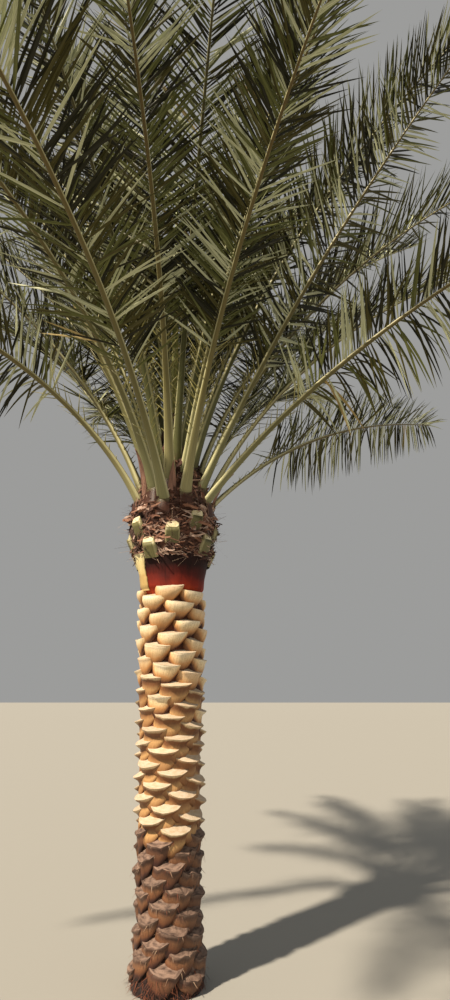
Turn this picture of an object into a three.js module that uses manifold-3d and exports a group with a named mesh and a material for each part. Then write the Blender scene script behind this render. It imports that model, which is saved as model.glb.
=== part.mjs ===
// A date palm, whole, from the flat cut at ground level to the tips of its fronds.
// Millimetres, +Z up. The origin is the middle of the cut under the trunk, the viewer's side is -Y,
// and azimuth 0 points at the viewer (-Y) and grows towards +X.
// Leaves, cut stubs and old leaf bases all sit on one spiral: each is one golden angle round from the last.

import * as THREE from 'three';
import { mergeVertices } from 'three/addons/utils/BufferGeometryUtils.js';
import Module from 'manifold-3d';

const wasm = await Module();
wasm.setup();

// Driving dimensions of the trunk
const LEAN = -0.012;            // sideways run of the axis for each unit of height
const CORE_SIDES = 20;
const CORE_TOP = 1925;          // the clothed stem ends here, inside the sheath band
const GOLDEN_ANGLE = 137.508;   // degrees
const SEAT_GAP = 0.34;          // how far the seats are cut back, for 0.3 mm clear on every facet
// Stem in the creases between the old leaf bases: height, radius
const CORE_PROFILE = [
  [0, 186], [60, 172], [180, 153], [370, 146], [700, 152], [1240, 154], [1700, 156], [1925, 158],
];
// Band of smooth sheath and the fibrous head over it: height, radius
const HEAD_PROFILE = [
  [1955, 184], [2020, 190], [2130, 214], [2210, 234], [2310, 247], [2385, 245],
];
// The cone that the living leaves stand on
const CONE_FOOT = { height: 2430, radius: 235 };
const CONE_TIP = { height: 3000, radius: 55 };
const HEART = { height: 3060, radius: 34 };

// Cut leaf bases that clothe the trunk
const BOOT_TOP = 1994;          // height of the topmost one's lip
const BOOT_STEP = 12.7;         // each lies this much lower than the one before
const BOOT_AZIMUTH = 176;       // azimuth of the topmost
// Each fills a diamond whose corners are this many bases further down the spiral
const DIAMOND = [0, 5, 8, 13];  // top, left, right, bottom
const LIP_DROP = 34;            // the cut face falls this far from its crease to its lip
const FRESH_ABOVE = 740;        // bases below this height are worn
const FRESH_STAND = 44;         // how far a lip stands out from the crease
const WORN_STAND = 34;
const STAND_SCATTER = 0.28;     // one base stands out up to this share more than another

// Fronds
const FROND_COUNT = 39;         // every leaf further down the spiral is cut off
const FIRST_AZIMUTH = -63.3;    // where the youngest leaf stands
// Rise from level, in degrees, of the youngest and the oldest leaf: at the foot and at the tip
const FOOT_RISE = { young: 86, old: 57 };
const TIP_RISE = { young: 55, old: 12 };
const BEND_POWER = 0.8;         // under 1, so that a rib bends most near its foot
// Widest difference between one leaf and the next of like age: degrees, and a share of the length
const FROND_SCATTER = { azimuth: 8, footRise: 5, tipRise: 10, swing: 12, length: 0.06 };
const RIB_STEPS = 48;
const FOOT_SINK = 18;           // how far a foot runs on into the cone before it is cut to its seat
const LONGEST = 3100;
const SHORTEST = 2500;
const FULL_GROWN = 0.33;        // share of the crown, from the heart out, in which leaves still lengthen
const FIRST_LEAFLET = 0.26;     // share of the rib that is bare
const BARE_STATIONS = [0, 0.05, 0.11, 0.18];  // sections of the bare stalk, as shares of the length
const LEAFLET_PAIRS = 16;
const LEAFLET_SHARE = 0.52;     // share of each pitch that a leaflet's root takes up
const LEAFLET_LONGEST = 430;
const LEAFLET_SHORTEST = 210;
const LEAFLET_SCATTER = { length: 0.14, rise: 10 };
const LEAFLET_RISE = 27;        // degrees that the two ranks stand up from the rib
// Degrees that leaflets point forwards, by their share of the leaf's length
const LEAFLET_LEAN = [[0.2, 28], [0.85, 44], [1, 70]];
// How far a level leaflet gives way under its weight, on the youngest leaf and on the oldest
const LEAFLET_DROOP = { young: 0.1, old: 2 };
const DROOP_POWER = 4;          // over 1, so that only the older leaves hang
const HANG = { from: 0.2, full: 0.42 };  // shares of a leaf's length between which the hanging sets in
const LEAFLET_CLEAR = 0.6;      // least gap between one frond and the next
// Lengths and angles that a leaflet tries in turn, until it is clear of other fronds
const TRY_LENGTHS = [1, 0.8, 0.6, 0.42];
const TRY_TURNS = [0, 14, -14, 28, -28];
const TIP_LEAFLET = 230;

// Fronds that are known one by one: rank, azimuth, rise at the foot and at the tip, swing, twist, droop
const KNOWN_FRONDS = [
  [15, -159, 71, 43, 3, 0, 0.1], [27, 63, 63, 48, 1, -20, 0.4], [28, -173.5, 52.5, 61, 7, 0, 0.3],
  [29, -30, 65, -1.5, 0, 0, 0.15], [31, -125, 66, 25, 1, 0, 0.5], [32, 24, 70, 18, -2, 0, 0.15],
  [34, -66, 60, -10, 0, 40, 3.4], [35, 67, 49, 10, -8, -35, 2.6], [37, -9, 43, -10, -2, 0, 0.25],
  [38, 134, 45.6, 10.4, -8.5, -40, 1.1],
];
const TWISTED_BY = 0.4;         // share of a leaf's length over which its blade turns on its rib

// Stubs of leaves that were cut long: how many, and the height and slope of their row round the head
const STUB_COUNT = 14;
const STUB_TOP = 2390;
const STUB_STEP = 15.5;
const STUB = { width: 78, depth: 36, length: 52, root: 66, rise: 64, stand: 0.7 };

// Dry sheaths of old flower stalks: name, azimuth, height of the foot, length, rise
const SPATHES = [
  ['spathe_left', -47, 2478, 290, 84],
  ['spathe_front', 3, 2478, 190, 80],
  ['spathe_right', 84, 2440, 260, 70],
];
const SPATHE = { width: 44, depth: 12, root: 30, turn: 10, curl: 32 };

const TORN_BASE = {
  azimuth: -58, twist: 8, top: 2140, bottom: 2008, topWidth: 78, bottomWidth: 34,
  thick: 12, ridge: 4, root: 20,
};
const SPEAR = { length: 1850, radius: 24, lean: 2.5, azimuth: 200, sides: 6 };

const { degToRad: radians, radToDeg: degrees, lerp } = THREE.MathUtils;
const UP = new THREE.Vector3(0, 0, 1);

// The same short list of numbers every time, between 0 and 1
function seeded(seed) {
  let state = seed;
  return () => {
    state = (state * 16807) % 2147483647;
    return state / 2147483647;
  };
}

// A value read off a list of [height, value] rows
function along(rows, height) {
  const last = rows.length - 1;
  if (height <= rows[0][0]) return rows[0][1];
  for (let i = 0; i < last; i += 1) {
    const [h0, v0] = rows[i];
    const [h1, v1] = rows[i + 1];
    if (height <= h1) return v0 + ((v1 - v0) * (height - h0)) / (h1 - h0);
  }
  return rows[last][1];
}

const HEAD_SHAPE = [
  [CORE_TOP - 60, 130], ...HEAD_PROFILE, [CONE_FOOT.height, CONE_FOOT.radius],
  [CONE_TIP.height, CONE_TIP.radius], [HEART.height, HEART.radius],
];

function creaseRadius(height) {
  return along(CORE_PROFILE, height);
}

function headRadius(height) {
  return along(HEAD_SHAPE, height);
}

// A point at this azimuth, distance from the leaning axis and height
function onTrunk(azimuth, radius, height) {
  const a = radians(azimuth);
  return new THREE.Vector3(LEAN * height + radius * Math.sin(a), -radius * Math.cos(a), height);
}

// Directions of a piece that points out at this azimuth and rises this far from level
function aimed(azimuth, rise) {
  const turn = radians(azimuth);
  const lift = radians(rise);
  const ahead = new THREE.Vector3(
    Math.cos(lift) * Math.sin(turn), -Math.cos(lift) * Math.cos(turn), Math.sin(lift),
  );
  const side = new THREE.Vector3(Math.cos(turn), Math.sin(turn), 0);
  const over = new THREE.Vector3().crossVectors(ahead, side).normalize();
  return { ahead, side, over };
}

// These directions turned about the one ahead, so that a positive turn lifts the right side
function twisted({ ahead, side, over }, turn) {
  const turned = (direction) => direction.clone().applyAxisAngle(ahead, radians(turn));
  return { ahead, side: turned(side), over: turned(over) };
}

// Solids

function toSolid(geometry) {
  const plain = geometry.index ? geometry.clone() : geometry;
  plain.deleteAttribute('normal');
  plain.deleteAttribute('uv');
  const merged = mergeVertices(plain, 1e-4);
  return new wasm.Manifold(new wasm.Mesh({
    numProp: 3,
    vertProperties: Float32Array.from(merged.attributes.position.array),
    triVerts: Uint32Array.from(merged.index.array),
  }));
}

function toGeometry(solid) {
  const mesh = solid.getMesh();
  const geometry = new THREE.BufferGeometry();
  geometry.setAttribute('position', new THREE.BufferAttribute(Float32Array.from(mesh.vertProperties), 3));
  geometry.setIndex(new THREE.BufferAttribute(Uint32Array.from(mesh.triVerts), 1));
  return geometry;
}

// A closed mesh from corner points and faces, each face a loop of corner numbers seen from outside
function facetedGeometry(corners, faces) {
  const index = [];
  for (const face of faces) {
    for (let i = 1; i + 1 < face.length; i += 1) index.push(face[0], face[i], face[i + 1]);
  }
  const geometry = new THREE.BufferGeometry();
  geometry.setAttribute('position', new THREE.Float32BufferAttribute(corners.flatMap((c) => c.toArray()), 3));
  geometry.setIndex(index);
  return geometry;
}

// Skin through rings of equal count, with flat ends; each ring runs anticlockwise seen along the sweep
function loftGeometry(rings) {
  const n = rings[0].length;
  const faces = [];
  for (let r = 0; r + 1 < rings.length; r += 1) {
    for (let i = 0; i < n; i += 1) {
      const j = (i + 1) % n;
      faces.push([r * n + i, r * n + j, (r + 1) * n + j, (r + 1) * n + i]);
    }
  }
  const first = [...Array(n).keys()];
  const last = first.map((i) => (rings.length - 1) * n + i);
  faces.push([...first].reverse(), last);
  return facetedGeometry(rings.flat(), faces);
}

function largestOf(solid) {
  const pieces = solid.decompose();
  return pieces.reduce((a, b) => (a.volume() > b.volume() ? a : b));
}

function named(name, geometry, material) {
  const mesh = new THREE.Mesh(geometry, material);
  mesh.name = name;
  return mesh;
}

function finish(color, roughness) {
  return new THREE.MeshStandardMaterial({ color, roughness, metalness: 0 });
}

// Trunk: stem clothed in old leaf bases, sheath band and fibrous head in one solid

function headGeometry(growth) {
  const profile = [new THREE.Vector2(0, CORE_TOP - 60)];
  for (const [height, radius] of HEAD_SHAPE) profile.push(new THREE.Vector2(radius + growth, height));
  profile.push(new THREE.Vector2(0, HEART.height + growth));
  const lathe = new THREE.LatheGeometry(profile, CORE_SIDES);
  lathe.rotateX(Math.PI / 2);
  const shear = new THREE.Matrix4().set(1, 0, LEAN, 0, 0, 1, 0, 0, 0, 0, 1, 0, 0, 0, 0, 1);
  return lathe.applyMatrix4(shear);
}

function bootPlace(rank) {
  return { azimuth: BOOT_AZIMUTH + GOLDEN_ANGLE * rank, height: BOOT_TOP + LIP_DROP - BOOT_STEP * rank };
}

// One cut base's lip from its left end to its right: turn, drop from the crease, share of its stand
const LIP_POINTS = [[-21, LIP_DROP + 16, 0.72], [-4, LIP_DROP, 1], [12, LIP_DROP + 24, 0.72]];

function bootLip(rank, random) {
  const { azimuth, height } = bootPlace(rank);
  const stand = (height > FRESH_ABOVE ? FRESH_STAND : WORN_STAND) * (1 + STAND_SCATTER * (random() - 0.5));
  return LIP_POINTS.map(([turn, drop, share]) => {
    const level = height - drop;
    return onTrunk(azimuth + turn, creaseRadius(level) + stand * share, level);
  });
}

// The stem as a skin of diamonds, each drawn out to its lip: the cut face above, the flank below
function clothedStem() {
  const random = seeded(11);
  const corners = [];
  const faces = [];
  const crease = new Map();
  const creaseCorner = (rank) => {
    if (!crease.has(rank)) {
      const { azimuth, height } = bootPlace(rank);
      crease.set(rank, corners.push(onTrunk(azimuth, creaseRadius(height), height)) - 1);
    }
    return crease.get(rank);
  };
  const lastRank = Math.ceil(BOOT_TOP / BOOT_STEP) + DIAMOND[3];
  for (let rank = -2; rank <= lastRank; rank += 1) {
    const [top, left, right, bottom] = DIAMOND.map((further) => creaseCorner(rank + further));
    const [lipLeft, lipMiddle, lipRight] = bootLip(rank, random).map((point) => corners.push(point) - 1);
    const lip = [left, lipLeft, lipMiddle, lipRight, right];
    for (let i = 0; i + 1 < lip.length; i += 1) {
      faces.push([top, lip[i], lip[i + 1]], [bottom, lip[i + 1], lip[i]]);
    }
  }
  closeEnds(corners, faces);
  return facetedGeometry(corners, faces);
}

// Each open edge is joined to a point on the axis above or below
function closeEnds(corners, faces) {
  const open = new Map();
  for (const face of faces) {
    face.forEach((from, i) => {
      const to = face[(i + 1) % face.length];
      if (open.has(`${to} ${from}`)) open.delete(`${to} ${from}`);
      else open.set(`${from} ${to}`, [from, to]);
    });
  }
  const heights = [...open.values()].map(([from]) => corners[from].z);
  const middle = (Math.max(...heights) + Math.min(...heights)) / 2;
  const above = corners.push(onTrunk(0, 0, Math.max(...heights))) - 1;
  const below = corners.push(onTrunk(0, 0, Math.min(...heights))) - 1;
  for (const [from, to] of open.values()) faces.push([to, from, corners[from].z > middle ? above : below]);
}

function trunkSolid() {
  const width = 900;
  const room = new THREE.BoxGeometry(width, width, BOOT_TOP);
  room.translate(0, 0, BOOT_TOP / 2);
  const stem = toSolid(clothedStem()).intersect(toSolid(room));
  return stem.add(toSolid(headGeometry(0))).simplify(0.25);
}

// Frond poses

function leafAzimuth(rank) {
  return FIRST_AZIMUTH + GOLDEN_ANGLE * rank;
}

function frondPoses() {
  const random = seeded(29);
  const scatter = (key) => (random() - 0.5) * FROND_SCATTER[key];
  const poses = [];
  for (let rank = 0; rank < FROND_COUNT; rank += 1) {
    const age = rank / FROND_COUNT;
    const pose = {
      rank,
      age,
      azimuth: leafAzimuth(rank) + scatter('azimuth'),
      footRise: lerp(FOOT_RISE.young, FOOT_RISE.old, age) + scatter('footRise'),
      tipRise: lerp(TIP_RISE.young, TIP_RISE.old, age) + scatter('tipRise'),
      swing: scatter('swing'),
      twist: 0,
      droop: lerp(LEAFLET_DROOP.young, LEAFLET_DROOP.old, age ** DROOP_POWER),
      length: lerp(SHORTEST, LONGEST, Math.min(1, age / FULL_GROWN)) * (1 + scatter('length')),
    };
    const known = KNOWN_FRONDS.find((row) => row[0] === rank);
    if (known) {
      [, pose.azimuth, pose.footRise, pose.tipRise, pose.swing, pose.twist, pose.droop] = known;
      pose.length = LONGEST;
    }
    poses.push(pose);
  }
  return poses;
}

// Where a leaf's foot stands on the cone: outer leaves lower, with equal room for each
function footOnCone(age) {
  const inner = CONE_TIP.radius;
  const outer = CONE_FOOT.radius;
  const radius = Math.sqrt(inner ** 2 + age * (outer ** 2 - inner ** 2));
  const height = lerp(CONE_TIP.height, CONE_FOOT.height, (radius - inner) / (outer - inner));
  return { radius, height };
}

// Middle line of the rib as evenly spaced frames: point, direction, sideways and upwards
function ribFrames(pose, steps) {
  const foot = footOnCone(pose.age);
  const point = onTrunk(pose.azimuth, foot.radius, foot.height);
  const frames = [];
  for (let i = 0; i <= steps; i += 1) {
    const s = i / steps;
    const aim = aimed(pose.azimuth + pose.swing * s, lerp(pose.footRise, pose.tipRise, s ** BEND_POWER));
    frames.push({ point: point.clone(), ...twisted(aim, pose.twist * Math.min(1, s / TWISTED_BY)) });
    point.addScaledVector(aim.ahead, pose.length / steps);
  }
  return frames;
}

// A rib frame at any share of the length, between the even ones
function frameAt(frames, share) {
  const place = Math.min(Math.max(share, 0), 1) * (frames.length - 1);
  const i = Math.min(Math.floor(place), frames.length - 2);
  const blend = (key) => frames[i][key].clone().lerp(frames[i + 1][key], place - i);
  return { point: blend('point'), ahead: blend('ahead'), side: blend('side'), over: blend('over') };
}

// Width and depth of the rib along its share of the length
const RIB_WIDTH = [[0, 76], [0.05, 56], [0.2, 35], [0.5, 22], [0.8, 12], [1, 7]];
const RIB_DEPTH = [[0, 40], [0.05, 34], [0.2, 26], [0.5, 18], [0.8, 10], [1, 6]];

// The youngest leaves stand close together at the heart, so their feet are slimmer
function slimming(pose) {
  return Math.min(1, 0.5 + 1.4 * pose.age);
}

// Three corners of the rib's section: left and right upper edges and the keel
function ribSection(frame, width, depth) {
  const { point, side, over } = frame;
  return [
    point.clone().addScaledVector(side, -width / 2).addScaledVector(over, depth * 0.35),
    point.clone().addScaledVector(over, -depth * 0.65),
    point.clone().addScaledVector(side, width / 2).addScaledVector(over, depth * 0.35),
  ];
}

// Shares of the rib where a section stands: bare stalk first, then a root and a gap for each pair
function ribStations() {
  const stations = [...BARE_STATIONS];
  const pitch = (1 - FIRST_LEAFLET) / LEAFLET_PAIRS;
  for (let pair = 0; pair < LEAFLET_PAIRS; pair += 1) {
    const start = FIRST_LEAFLET + pair * pitch;
    stations.push(start, start + pitch * LEAFLET_SHARE);
  }
  return stations;
}

const STATIONS = ribStations();

// A frond's sections, starting far enough back that the whole foot lies inside the cone
function frondSections(pose) {
  const frames = ribFrames(pose, RIB_STEPS);
  const slim = slimming(pose);
  const slope = degrees(Math.atan2(CONE_TIP.height - CONE_FOOT.height, CONE_FOOT.radius - CONE_TIP.radius));
  const spread = radians(180 - slope - pose.footRise);
  const back = (RIB_DEPTH[0][1] * slim * 0.65) / Math.tan(spread) + FOOT_SINK;
  const foot = frameAt(frames, 0);
  foot.point.addScaledVector(foot.ahead, -back);
  const sections = [ribSection(foot, RIB_WIDTH[0][1] * slim, RIB_DEPTH[0][1] * slim)];
  for (const share of STATIONS) {
    const narrow = lerp(slim, 1, Math.min(1, share * 3));
    const [width, depth] = [RIB_WIDTH, RIB_DEPTH].map((rows) => along(rows, share) * narrow);
    sections.push(ribSection(frameAt(frames, share), width, depth));
  }
  return { frames, sections };
}

// Leaflet length along the rib: short at the foot, longest past the first third, shorter at the tip
function leafletLength(share) {
  const place = (share - FIRST_LEAFLET) / (1 - FIRST_LEAFLET);
  const swell = Math.sin(Math.PI * Math.min(1, 0.22 + 0.72 * place));
  return LEAFLET_SHORTEST + (LEAFLET_LONGEST - LEAFLET_SHORTEST) * swell;
}

// Leaflets don't hang at a leaf's foot
function leafletDroop(pose, share) {
  return pose.droop * Math.min(Math.max((share - HANG.from) / (HANG.full - HANG.from), 0), 1);
}

// A direction bent down by its leaflet's weight, which an upright one bears and a level one doesn't
function bentDown(way, droop) {
  return way.clone().addScaledVector(UP, -droop * (1 - way.z) ** 2).normalize();
}

function leafletTip(root, frame, hand, share, rise, length, droop) {
  const forward = radians(along(LEAFLET_LEAN, share));
  const lift = radians(rise);
  const out = frame.side.clone().multiplyScalar(hand * Math.cos(lift));
  out.addScaledVector(frame.over, Math.sin(lift));
  const way = out.multiplyScalar(Math.cos(forward)).addScaledVector(frame.ahead, Math.sin(forward));
  return root.clone().addScaledVector(bentDown(way.normalize(), droop), length);
}

// Clearance: two convex bodies are apart when their shadows on some direction are

function directionsOf(points, faces) {
  const normals = [];
  const edges = [];
  for (const face of faces) {
    const [a, b, c] = face.map((i) => points[i]);
    normals.push(new THREE.Vector3().crossVectors(b.clone().sub(a), c.clone().sub(a)).normalize());
    for (let i = 0; i < face.length; i += 1) {
      const j = (i + 1) % face.length;
      if (face[i] < face[j]) edges.push(points[face[j]].clone().sub(points[face[i]]).normalize());
    }
  }
  return { normals, edges };
}

function convexBody(points, faces, owner) {
  const box = new THREE.Box3().setFromPoints(points).expandByScalar(LEAFLET_CLEAR / 2);
  return { points, box, owner, ...directionsOf(points, faces) };
}

function partedAlong(direction, a, b) {
  const shadow = (body) => {
    let low = Infinity;
    let high = -Infinity;
    for (const p of body.points) {
      const d = p.dot(direction);
      if (d < low) low = d;
      if (d > high) high = d;
    }
    return [low, high];
  };
  const [lowA, highA] = shadow(a);
  const [lowB, highB] = shadow(b);
  return lowB - highA > LEAFLET_CLEAR || lowA - highB > LEAFLET_CLEAR;
}

function apart(a, b) {
  if (!a.box.intersectsBox(b.box)) return true;
  if (a.normals.some((n) => partedAlong(n, a, b)) || b.normals.some((n) => partedAlong(n, a, b))) return true;
  const cross = new THREE.Vector3();
  for (const e of a.edges) {
    for (const f of b.edges) {
      cross.crossVectors(e, f);
      if (cross.lengthSq() > 1e-6 && partedAlong(cross.normalize(), a, b)) return true;
    }
  }
  return false;
}

const WEDGE_FACES = [[0, 1, 2], [5, 4, 3], [0, 3, 4], [0, 4, 1], [1, 4, 5], [1, 5, 2], [2, 5, 3], [2, 3, 0]];
const LEAFLET_FACES = [[0, 1, 4], [1, 2, 4], [2, 3, 4], [3, 0, 4], [0, 2, 1], [0, 3, 2]];

// Corners of the rib's side that a leaflet grows out of, anticlockwise seen from outside
function rootCorners(sections, at, hand) {
  const edge = hand < 0 ? 0 : 2;
  const keel = 1;
  const corners = [sections[at][keel], sections[at][edge], sections[at + 1][edge], sections[at + 1][keel]];
  return hand < 0 ? corners : corners.reverse();
}

function middleOf(points) {
  return points.reduce((sum, p) => sum.add(p), new THREE.Vector3()).multiplyScalar(1 / points.length);
}

// Ribs are set out first, then the leaflets pair by pair from the tips inwards on all fronds alike.
// A leaflet that would touch another frond stands at another angle, or is shorter, or is left out.
function growFronds(poses, others) {
  const fronds = poses.map((pose) => ({ pose, ...frondSections(pose), leaflets: new Map() }));
  const bodies = [...others];
  for (const frond of fronds) {
    const { sections, pose } = frond;
    for (let i = 1; i + 1 < sections.length; i += 1) {
      bodies.push(convexBody([...sections[i], ...sections[i + 1]], WEDGE_FACES, pose.rank));
    }
    frond.tip = endPoint(frond);
    const last = sections[sections.length - 1];
    bodies.push(convexBody([...last, frond.tip], [[0, 1, 2], [0, 3, 1], [1, 3, 2], [2, 3, 0]], pose.rank));
  }
  const random = seeded(47);
  for (let pair = LEAFLET_PAIRS - 1; pair >= 0; pair -= 1) {
    for (const frond of fronds) {
      for (const hand of [-1, 1]) placeLeaflet(frond, pair, hand, bodies, random());
    }
  }
  return fronds;
}

function endPoint({ frames }) {
  const end = frameAt(frames, 1);
  return end.point.addScaledVector(end.ahead, TIP_LEAFLET);
}

function placeLeaflet(frond, pair, hand, bodies, chance) {
  const { pose, sections, frames, leaflets } = frond;
  const station = BARE_STATIONS.length + 2 * pair;
  const at = 1 + station;
  const share = STATIONS[station];
  const frame = frameAt(frames, share);
  const corners = rootCorners(sections, at, hand);
  const root = middleOf(corners);
  const uneven = 1 + LEAFLET_SCATTER.length * (chance - 0.5);
  const whole = leafletLength(share) * uneven * lerp(slimming(pose), 1, share);
  const droop = leafletDroop(pose, share);
  for (const scale of TRY_LENGTHS) {
    for (const turn of TRY_TURNS) {
      const rise = LEAFLET_RISE + turn + (chance - 0.5) * LEAFLET_SCATTER.rise;
      const tip = leafletTip(root, frame, hand, share, rise, whole * scale, droop);
      const body = convexBody([...corners, tip], LEAFLET_FACES, pose.rank);
      if (bodies.every((other) => other.owner === pose.rank || apart(body, other))) {
        bodies.push(body);
        leaflets.set(`${at} ${hand}`, tip);
        return;
      }
    }
  }
}

// One frond: the rib with its leaflets drawn out of it, its outline cut back to the rib between them
function frondGeometry({ sections, leaflets, tip }) {
  const corners = sections.flat();
  const faces = [[2, 1, 0]];
  for (let at = 0; at + 1 < sections.length; at += 1) {
    const a = at * 3;
    const b = a + 3;
    faces.push([a + 2, a, b, b + 2]);
    for (const [hand, face] of [[-1, [a, a + 1, b + 1, b]], [1, [a + 1, a + 2, b + 2, b + 1]]]) {
      const point = leaflets.get(`${at} ${hand}`);
      if (point) {
        corners.push(point);
        for (let i = 0; i < 4; i += 1) faces.push([face[i], face[(i + 1) % 4], corners.length - 1]);
      } else {
        faces.push(face);
      }
    }
  }
  corners.push(tip);
  const last = (sections.length - 1) * 3;
  for (let i = 0; i < 3; i += 1) faces.push([last + i, last + ((i + 1) % 3), corners.length - 1]);
  return facetedGeometry(corners, faces);
}

// Smaller pieces on the head

// A leaf's stalk cut off short: a slab that leans out from the head
function stubRings(rank) {
  const top = STUB_TOP - STUB_STEP * (rank - FROND_COUNT);
  const azimuth = leafAzimuth(rank);
  const { ahead, side, over } = aimed(azimuth, STUB.rise);
  const cut = onTrunk(azimuth, headRadius(top) + STUB.depth * STUB.stand, top);
  const outline = [[-0.5, 0.5], [-0.42, -0.1], [0, -0.5], [0.42, -0.1], [0.5, 0.5]];
  const levels = [[STUB.length + STUB.root, 1.15], [STUB.length * 0.5, 1], [0, 0.92]];
  return levels.map(([back, share]) => outline.map(([x, y]) => cut.clone()
    .addScaledVector(ahead, -back)
    .addScaledVector(side, x * STUB.width * share)
    .addScaledVector(over, y * STUB.depth)));
}

// A dry sheath: a slim pointed boat that curls outwards
function spatheRings([, azimuth, height, length, rise]) {
  const rings = [];
  const steps = 6;
  const outline = [[-0.5, 0.5], [0, -0.5], [0.5, 0.5], [0, 0.05]];
  const point = onTrunk(azimuth, headRadius(height) - SPATHE.depth / 2, height - SPATHE.root);
  for (let i = 0; i <= steps; i += 1) {
    const s = i / steps;
    const { ahead, side, over } = aimed(azimuth + SPATHE.turn * s, rise - SPATHE.curl * s * s);
    const width = SPATHE.width * Math.sin(Math.PI * (0.25 + 0.68 * s));
    const depth = SPATHE.depth * (1 - 0.5 * s);
    rings.push(outline.map(([x, y]) => point.clone()
      .addScaledVector(side, x * width)
      .addScaledVector(over, y * depth)));
    point.addScaledVector(ahead, (length + SPATHE.root) / steps);
  }
  return rings;
}

// A torn leaf base that lies against the sheath band, wide above and ragged below
function tornRings() {
  const rings = [];
  const steps = 4;
  for (let i = 0; i <= steps; i += 1) {
    const s = i / steps;
    const height = lerp(TORN_BASE.top, TORN_BASE.bottom, s);
    const width = lerp(TORN_BASE.topWidth, TORN_BASE.bottomWidth, s);
    const azimuth = TORN_BASE.azimuth + TORN_BASE.twist * s;
    const half = degrees(width / 2 / headRadius(height));
    const outer = headRadius(height) + TORN_BASE.thick;
    const inner = headRadius(height) - TORN_BASE.root;
    const ridge = outer + TORN_BASE.ridge;
    const outline = [[half, inner], [half, outer], [0, ridge], [-half, outer], [-half, inner]];
    rings.push(outline.map(([turn, radius]) => onTrunk(azimuth + turn, radius, height)));
  }
  return rings;
}

// The next leaf, still folded into a rod
function spearGeometry() {
  const { ahead } = aimed(SPEAR.azimuth, 90 - SPEAR.lean);
  const foot = new THREE.Vector3(LEAN * HEART.height, 0, HEART.height + 2);
  const rings = [];
  for (const [s, share] of [[0, 0.8], [0.15, 1], [0.5, 0.72], [0.85, 0.34], [1, 0.1]]) {
    const middle = foot.clone().addScaledVector(ahead, s * SPEAR.length);
    rings.push([...Array(SPEAR.sides).keys()].map((i) => {
      const reach = new THREE.Vector3(SPEAR.radius * share, 0, 0);
      return reach.applyAxisAngle(UP, (i / SPEAR.sides) * 2 * Math.PI).add(middle);
    }));
  }
  rings[0].forEach((p) => p.setZ(HEART.height + SEAT_GAP));
  return loftGeometry(rings);
}

// A piece cut off along the head's surface, so that its foot lies just clear of it
function seatedOn(geometry, grownHead) {
  return largestOf(toSolid(geometry).subtract(grownHead)).simplify(0.05);
}

function bodyOfRings(rings, owner) {
  const bodies = [];
  for (let i = 0; i + 1 < rings.length; i += 1) {
    const points = [...rings[i], ...rings[i + 1]];
    const n = rings[i].length;
    const faces = [];
    for (let k = 0; k < n; k += 1) faces.push([k, (k + 1) % n, n + ((k + 1) % n), n + k]);
    faces.push([...Array(n).keys()], [...Array(n).keys()].map((k) => n + k));
    bodies.push(convexBody(points, faces, owner));
  }
  return bodies;
}

// The whole plant

const MATERIALS = {
  trunk: finish(0xb08a5c, 0.9),
  frond: finish(0x5f6a38, 0.6),
  spear: finish(0x9aa05a, 0.55),
  stub: finish(0x8d8a48, 0.7),
  spathe: finish(0xb48a6a, 0.8),
  torn: finish(0xd8c892, 0.75),
};

function twoDigits(number) {
  return String(number).padStart(2, '0');
}

function buildPalm() {
  const palm = new THREE.Group();
  const grownHead = toSolid(headGeometry(SEAT_GAP));
  palm.add(named('trunk', toGeometry(trunkSolid()), MATERIALS.trunk));
  const others = [];
  for (let i = 0; i < STUB_COUNT; i += 1) {
    const rings = stubRings(FROND_COUNT + i);
    others.push(...bodyOfRings(rings, `stub ${i}`));
    const geometry = toGeometry(seatedOn(loftGeometry(rings), grownHead));
    palm.add(named(`stub_${twoDigits(i + 1)}`, geometry, MATERIALS.stub));
  }
  for (const row of SPATHES) {
    const rings = spatheRings(row);
    others.push(...bodyOfRings(rings, row[0]));
    palm.add(named(row[0], toGeometry(seatedOn(loftGeometry(rings), grownHead)), MATERIALS.spathe));
  }
  palm.add(named('torn_base', toGeometry(seatedOn(loftGeometry(tornRings()), grownHead)), MATERIALS.torn));
  palm.add(named('spear', spearGeometry(), MATERIALS.spear));
  for (const frond of growFronds(frondPoses(), others)) {
    const geometry = toGeometry(seatedOn(frondGeometry(frond), grownHead));
    palm.add(named(`frond_${twoDigits(frond.pose.rank + 1)}`, geometry, MATERIALS.frond));
  }
  return palm;
}

const palm = buildPalm();

export default palm;
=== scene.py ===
# A date palm, dressed from the flat cut at its foot to the tips of its leaflets.
# Sizes are in millimetres and angles in degrees until a mesh is made, which is in metres.
# Azimuth 0 points at the viewer (-Y) and grows towards +X, as in the model that this dresses.
import math

import bpy
import numpy as np
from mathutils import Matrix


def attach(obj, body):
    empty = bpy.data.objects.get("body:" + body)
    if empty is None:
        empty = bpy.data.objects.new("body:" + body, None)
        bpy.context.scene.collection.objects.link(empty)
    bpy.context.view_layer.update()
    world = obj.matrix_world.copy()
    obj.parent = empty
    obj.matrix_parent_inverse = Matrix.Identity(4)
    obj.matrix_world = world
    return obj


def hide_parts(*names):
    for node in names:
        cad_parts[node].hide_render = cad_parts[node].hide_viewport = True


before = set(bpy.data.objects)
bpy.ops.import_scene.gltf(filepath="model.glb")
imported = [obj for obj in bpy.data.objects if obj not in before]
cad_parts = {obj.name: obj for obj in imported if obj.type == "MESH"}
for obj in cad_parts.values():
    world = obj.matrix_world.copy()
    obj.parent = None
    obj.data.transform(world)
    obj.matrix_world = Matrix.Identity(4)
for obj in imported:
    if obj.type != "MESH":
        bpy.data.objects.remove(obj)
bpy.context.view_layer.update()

MM = 0.001
BODY = "root"
UP = np.array([0.0, 0.0, 1.0])
GOLDEN_ANGLE = 137.508
# what each row of chance numbers starts from, so that every run gives the same palm
SEEDS = {"fronds": 29, "spines": 500, "leaflets": 900, "stands": 11, "bases": 77, "frayed": 31,
         "rags": 5, "threads": 6, "stubs": 200}

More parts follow.
